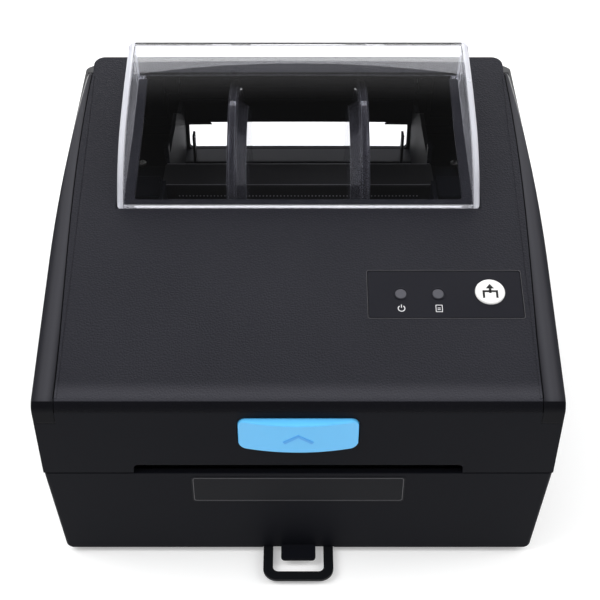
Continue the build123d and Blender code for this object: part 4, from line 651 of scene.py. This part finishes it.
# The grained top reaches a little over each wing, to a dark joint that bows outward along the
# machine: pairs of a depth and a width
SEAM = ((0.0030, 0.0871), (0.0150, 0.0872), (0.0280, 0.0874), (0.0410, 0.0878), (0.0550, 0.0882),
        (0.0700, 0.0886), (0.0840, 0.0889), (0.0960, 0.0890), (0.1080, 0.0890), (0.1210, 0.0888),
        (0.1340, 0.0884), (0.1450, 0.0879), (0.1560, 0.0872))
SEAM_INNER = 0.0860
SEAM_WIDE = 0.0004
SEAM_PROUD = 0.00003
seam_line = [(x, depth) for depth, x in SEAM]
margin = [(SEAM_INNER, depth) for depth, _ in reversed(SEAM)] + seam_line
for side, word in ((-1, "left"), (1, "right")):
    shape = bmesh.new()
    slab(shape, margin, seam_place(side), FILM)
    add_piece(word + "_panel_margin", shape, "lid", slot_materials["panel"])
    shape = bmesh.new()
    slab(shape, stroke(seam_line, SEAM_WIDE), seam_place(side), FILM + SEAM_PROUD)
    add_piece(word + "_panel_joint", shape, "lid", joint_black)

# Window: a clear hood with a soft rolled rim, standing in the panel's rebate as the solid does
WINDOW_FRONT = 0.0868
WINDOW_BACK = 0.1570
WINDOW_SHOULDER = (0.1114, 0.1267)
WINDOW_CREST = (0.1555, 0.1362)
WINDOW_FRONT_RADIUS = 0.040
WINDOW_CROWN_RADIUS = 0.1846
WINDOW_ARC_STEPS = 16
WINDOW_HALF_FOOT = 0.0714
WINDOW_HALF_TOP = 0.0702
WINDOW_LEAN_FROM = 0.104
WINDOW_WALL = 0.0025
WINDOW_ROLL = 0.0026
WINDOW_ROLL_STEPS = 8
WINDOW_INNER_ROLL = 0.0006
WINDOW_INNER_STEPS = 3
WINDOW_BACK_ROLL = 0.0016
WINDOW_BACK_LEAD = 1.2 * WINDOW_BACK_ROLL
WINDOW_SMOOTH = math.radians(35)
REBATE = 0.00117
RUN_ON = 0.006


def bulged(start, end, radius, steps):
    # Points of a shallow arc from start up to, but without, end.
    (ax, ay), (bx, by) = start, end
    chord = math.hypot(bx - ax, by - ay)
    rise = math.sqrt(radius ** 2 - (chord / 2) ** 2)
    cx = (ax + bx) / 2 + (by - ay) / chord * rise
    cy = (ay + by) / 2 - (bx - ax) / chord * rise
    first = math.atan2(ay - cy, ax - cx)
    turn = 2 * math.asin(chord / 2 / radius)
    angles = [first - turn * i / steps for i in range(steps)]
    return [(cx + radius * math.cos(angle), cy + radius * math.sin(angle)) for angle in angles]


def turned_in(start, corner, end, steps):
    # Points of a soft corner after start, up to and with end.
    points = []
    for i in range(1, steps + 1):
        a = i / steps
        points.append(tuple((1 - a) ** 2 * start[k] + 2 * a * (1 - a) * corner[k] + a * a * end[k]
                            for k in (0, 1)))
    return points


def hood_profile():
    # Side view of the hood as depths and heights, run on a little below its foot at both ends.
    foot = (WINDOW_FRONT, roof_height(WINDOW_FRONT) - REBATE)
    front = bulged(foot, WINDOW_SHOULDER, WINDOW_FRONT_RADIUS, WINDOW_ARC_STEPS)
    crown = bulged(WINDOW_SHOULDER, WINDOW_CREST, WINDOW_CROWN_RADIUS, WINDOW_ARC_STEPS)
    lead = (front[0][0] - front[1][0], front[0][1] - front[1][1])
    reach = RUN_ON / math.hypot(*lead)
    points = [(foot[0] + lead[0] * reach, foot[1] + lead[1] * reach)] + front[1:]
    points += [point for point in crown if point[0] < WINDOW_BACK - WINDOW_BACK_LEAD]
    corner = (WINDOW_BACK, WINDOW_CREST[1])
    below = (WINDOW_BACK, WINDOW_CREST[1] - WINDOW_BACK_ROLL)
    points += turned_in(points[-1], corner, below, WINDOW_ROLL_STEPS)
    heel = roof_height(WINDOW_BACK) - REBATE
    points += [(WINDOW_BACK, below[1] + (heel - below[1]) * share) for share in (1 / 3, 2 / 3)]
    return points + [(WINDOW_BACK, heel - RUN_ON)]


def hood_skin(shape, inset, roll, steps, rim):
    # Adds one skin of the hood, inset from the outside, with its edge rolled over to the upright
    # sides. Where rim is on, those sides and rolls take the piece's second material, a paler one
    # with a painted glint.
    profile = hood_profile()
    rows = []
    for i, (depth, height) in enumerate(profile):
        before, after = profile[max(i - 1, 0)], profile[min(i + 1, len(profile) - 1)]
        run, climb = after[0] - before[0], after[1] - before[1]
        length = math.hypot(run, climb)
        out = (-climb / length, run / length)
        row = []
        for side, turns in ((-1, range(steps, -1, -1)), (1, range(steps + 1))):
            for turn in turns:
                angle = math.pi / 2 * turn / steps
                sink = inset + roll * (1 - math.cos(angle))
                at_depth, at_height = depth - sink * out[0], height - sink * out[1]
                share = (at_height - WINDOW_LEAN_FROM) / (WINDOW_CREST[1] - WINDOW_LEAN_FROM)
                lean = (WINDOW_HALF_TOP - WINDOW_HALF_FOOT) * share
                half = WINDOW_HALF_FOOT + lean - inset
                across = side * (half - roll * (1 - math.sin(angle)))
                row.append(shape.verts.new(spot(across, at_depth, at_height)))
        rows.append(row)
    for low_row, high_row in zip(rows, rows[1:]):
        for i in range(len(low_row) - 1):
            face = shape.faces.new((low_row[i], low_row[i + 1], high_row[i + 1], high_row[i]))
            face.material_index = 1 if i != steps and rim else 0
    shape.faces.new([row[0] for row in rows])
    shape.faces.new([row[-1] for row in reversed(rows)])


def foot_ring(shape):
    # Closes the foot between the outer and the inner skin with triangles, going round both edges.
    middle = FRONT_Y + (WINDOW_FRONT + WINDOW_BACK) / 2
    half_long = (WINDOW_BACK - WINDOW_FRONT) / 2
    outer, inner = [], []
    for vert in shape.verts:
        if vert.is_boundary:
            x, y = vert.co.x, vert.co.y - middle
            beyond = max(abs(x) - WINDOW_HALF_FOOT, abs(y) - half_long)
            edge = outer if beyond > -WINDOW_WALL / 2 else inner
            edge.append((math.atan2(y, x), vert))
    for edge in (outer, inner):
        edge.sort(key=lambda pair: pair[0])
    i = j = 0
    while i < len(outer) or j < len(inner):
        a, b = outer[i % len(outer)], inner[j % len(inner)]
        next_a, next_b = outer[(i + 1) % len(outer)], inner[(j + 1) % len(inner)]
        ahead = next_a[0] + (math.tau if i + 1 >= len(outer) else 0)
        beside = next_b[0] + (math.tau if j + 1 >= len(inner) else 0)
        if j >= len(inner) or (i < len(outer) and ahead <= beside):
            shape.faces.new((a[1], b[1], next_a[1]))
            i += 1
        else:
            shape.faces.new((a[1], b[1], next_b[1]))
            j += 1


shape = bmesh.new()
hood_skin(shape, 0.0, WINDOW_ROLL, WINDOW_ROLL_STEPS, rim=True)
hood_skin(shape, WINDOW_WALL, WINDOW_INNER_ROLL, WINDOW_INNER_STEPS, rim=False)
foot_point = spot(0, WINDOW_FRONT, roof_height(WINDOW_FRONT) - REBATE)
everything = shape.verts[:] + shape.edges[:] + shape.faces[:]
bmesh.ops.bisect_plane(shape, geom=everything, plane_co=foot_point, clear_inner=True,
                       plane_no=(0, -math.sin(ROOF_ANGLE), math.cos(ROOF_ANGLE)))
foot_ring(shape)
window_piece = add_piece("window_hood", shape, "lid", slot_materials["clear"],
                         smooth_below=WINDOW_SMOOTH)
# The second material: paler, a painted glint on the hood's sides and rim
window_piece.data.materials.append(window_rim_painted_glint)
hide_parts("window")

# Thin raised rims round the two lenses: how far out each starts and ends
RIM_INNER = 0.0001
RIM_OUTER = 0.0007
RIM_TALL = 0.00015
RIM_POINTS = 48
shape = bmesh.new()
for across in LENS_SPOTS:
    outer, inner = [ring(LENS_RADIUS + more, RIM_POINTS) for more in (RIM_OUTER, RIM_INNER)]
    band(shape, outer, inner, roof_place(across, LENS_DEPTH), RIM_TALL)
add_piece("lens_rims", shape, "lid", slot_materials["bezel"])

# Floor. The view, the gloss and the glass see it a little brighter than the lamps make it.

FLOOR_HALF = 4.0
FLOOR_LIFT = 0.27
WHITE = (1, 1, 1, 1)
# A ray that has met no surface of a kind has a depth under this
UNTOUCHED = 0.5


def seen_by(tree, *kinds, mirrored=True):
    # 1 for the named kinds of ray that no matt surface has scattered on their way from the camera,
    # nor a shiny one where mirrored is off, and 0 for the others.
    path = tree.nodes.new("ShaderNodeLightPath").outputs
    depths = ("Diffuse Depth",) if mirrored else ("Diffuse Depth", "Glossy Depth")
    tests = [joined(tree, "MAXIMUM", *[path[kind] for kind in kinds])]
    tests += [joined(tree, "LESS_THAN", path[depth], UNTOUCHED) for depth in depths]
    return joined(tree, "MULTIPLY", *tests)


paper = Paint("floor_paper", (0.8, 0.8, 0.8), 0.9, 0.0, Emission_Color=WHITE)
lift = joined(paper.tree, "MULTIPLY", FLOOR_LIFT,
              seen_by(paper.tree, "Is Camera Ray", "Is Glossy Ray", "Is Transmission Ray"))
fill(paper.tree, paper.shader.inputs["Emission Strength"], lift)
shape = bmesh.new()
corners = ((-FLOOR_HALF, -FLOOR_HALF), (FLOOR_HALF, -FLOOR_HALF),
           (FLOOR_HALF, FLOOR_HALF), (-FLOOR_HALF, FLOOR_HALF))
shape.faces.new([shape.verts.new((x, y, 0.0)) for x, y in corners])
floor = add_object("floor", shape, paper.done())

# Room. It lights matt surfaces softly from above. Gloss sees white walls left, right and behind
# and a dim room elsewhere, and the view and the glass see white.

# Where each starts and ends, along a direction of length 1, and the levels there
ABOVE = (0.0, 0.9, 0.25, 0.85)
SIDE_WALLS = (0.1, 0.9, 0.05, 1.0)
BACK_WALL = (0.4, 0.85, 0.05, 1.0)

world = bpy.data.worlds.new("studio")
bpy.context.scene.world = world
world.use_nodes = True
tree = world.node_tree
outward = tree.nodes.new("ShaderNodeTexCoord").outputs["Generated"]
way = add_node(tree, "ShaderNodeSeparateXYZ", Vector=outward).outputs
across = joined(tree, "MULTIPLY", way["X"], way["X"])
sides = graded(tree, across, *SIDE_WALLS, smooth=True)
behind = graded(tree, way["Y"], *BACK_WALL, smooth=True)
walls = joined(tree, "MAXIMUM", sides, behind)
above = graded(tree, way["Z"], *ABOVE, smooth=True)
lit = graded(tree, seen_by(tree, "Is Glossy Ray"), 0.0, 1.0, above, walls)
seen = seen_by(tree, "Is Camera Ray", "Is Transmission Ray", mirrored=False)
background = tree.nodes["Background"]
fill(tree, background.inputs["Color"], WHITE)
fill(tree, background.inputs["Strength"], graded(tree, seen, 0.0, 1.0, lit, 1.0))


def softbox(name, place, aim, wide, tall, power, mirrored):
    # A rectangular lamp. Gloss and glass see it only where mirrored is on.
    lamp = bpy.data.lights.new(name, "AREA")
    lamp.shape = "RECTANGLE"
    lamp.size = wide
    lamp.size_y = tall
    lamp.energy = power
    made = bpy.data.objects.new(name, lamp)
    made.location = place
    made.visible_glossy = mirrored
    made.visible_transmission = mirrored
    made.rotation_euler = (Vector(aim) - Vector(place)).to_track_quat("-Z", "Y").to_euler()
    bpy.context.scene.collection.objects.link(made)


softbox("key_light", (-0.75, -0.15, 1.0), (0, 0, 0.05), wide=0.7, tall=0.7, power=8.0,
        mirrored=False)
softbox("right_light", (0.95, -0.1, 0.75), (0, 0, 0.06), wide=0.5, tall=0.9, power=6.0,
        mirrored=False)
softbox("back_light", (0.0, 1.0, 0.9), (0, 0.05, 0.1), wide=1.4, tall=0.5, power=8.0,
        mirrored=True)

# Camera, fitted to the photograph, which is 600 pixels wide: its distance in front of the casing,
# its height, how far down it looks, its lens, and how far the picture is shifted
CAMERA_REACH = 0.3162
CAMERA_HEIGHT = 0.4255
CAMERA_DOWN = math.radians(42.5)
CAMERA_LENS = 78.53
CAMERA_SENSOR = 36.0
CAMERA_SHIFT = 1.7 / 600
CAMERA_NEAR = 0.01

camera_data = bpy.data.cameras.new("camera")
camera_data.sensor_width = CAMERA_SENSOR
camera_data.lens = CAMERA_LENS
camera_data.shift_x = CAMERA_SHIFT
camera_data.clip_start = CAMERA_NEAR
camera = bpy.data.objects.new("camera", camera_data)
camera.location = (0.0, FRONT_Y - CAMERA_REACH, CAMERA_HEIGHT)
camera.rotation_euler = (math.pi / 2 - CAMERA_DOWN, 0.0, 0.0)
bpy.context.scene.collection.objects.link(camera)
bpy.context.scene.camera = camera
bpy.context.scene.view_settings.view_transform = "Standard"
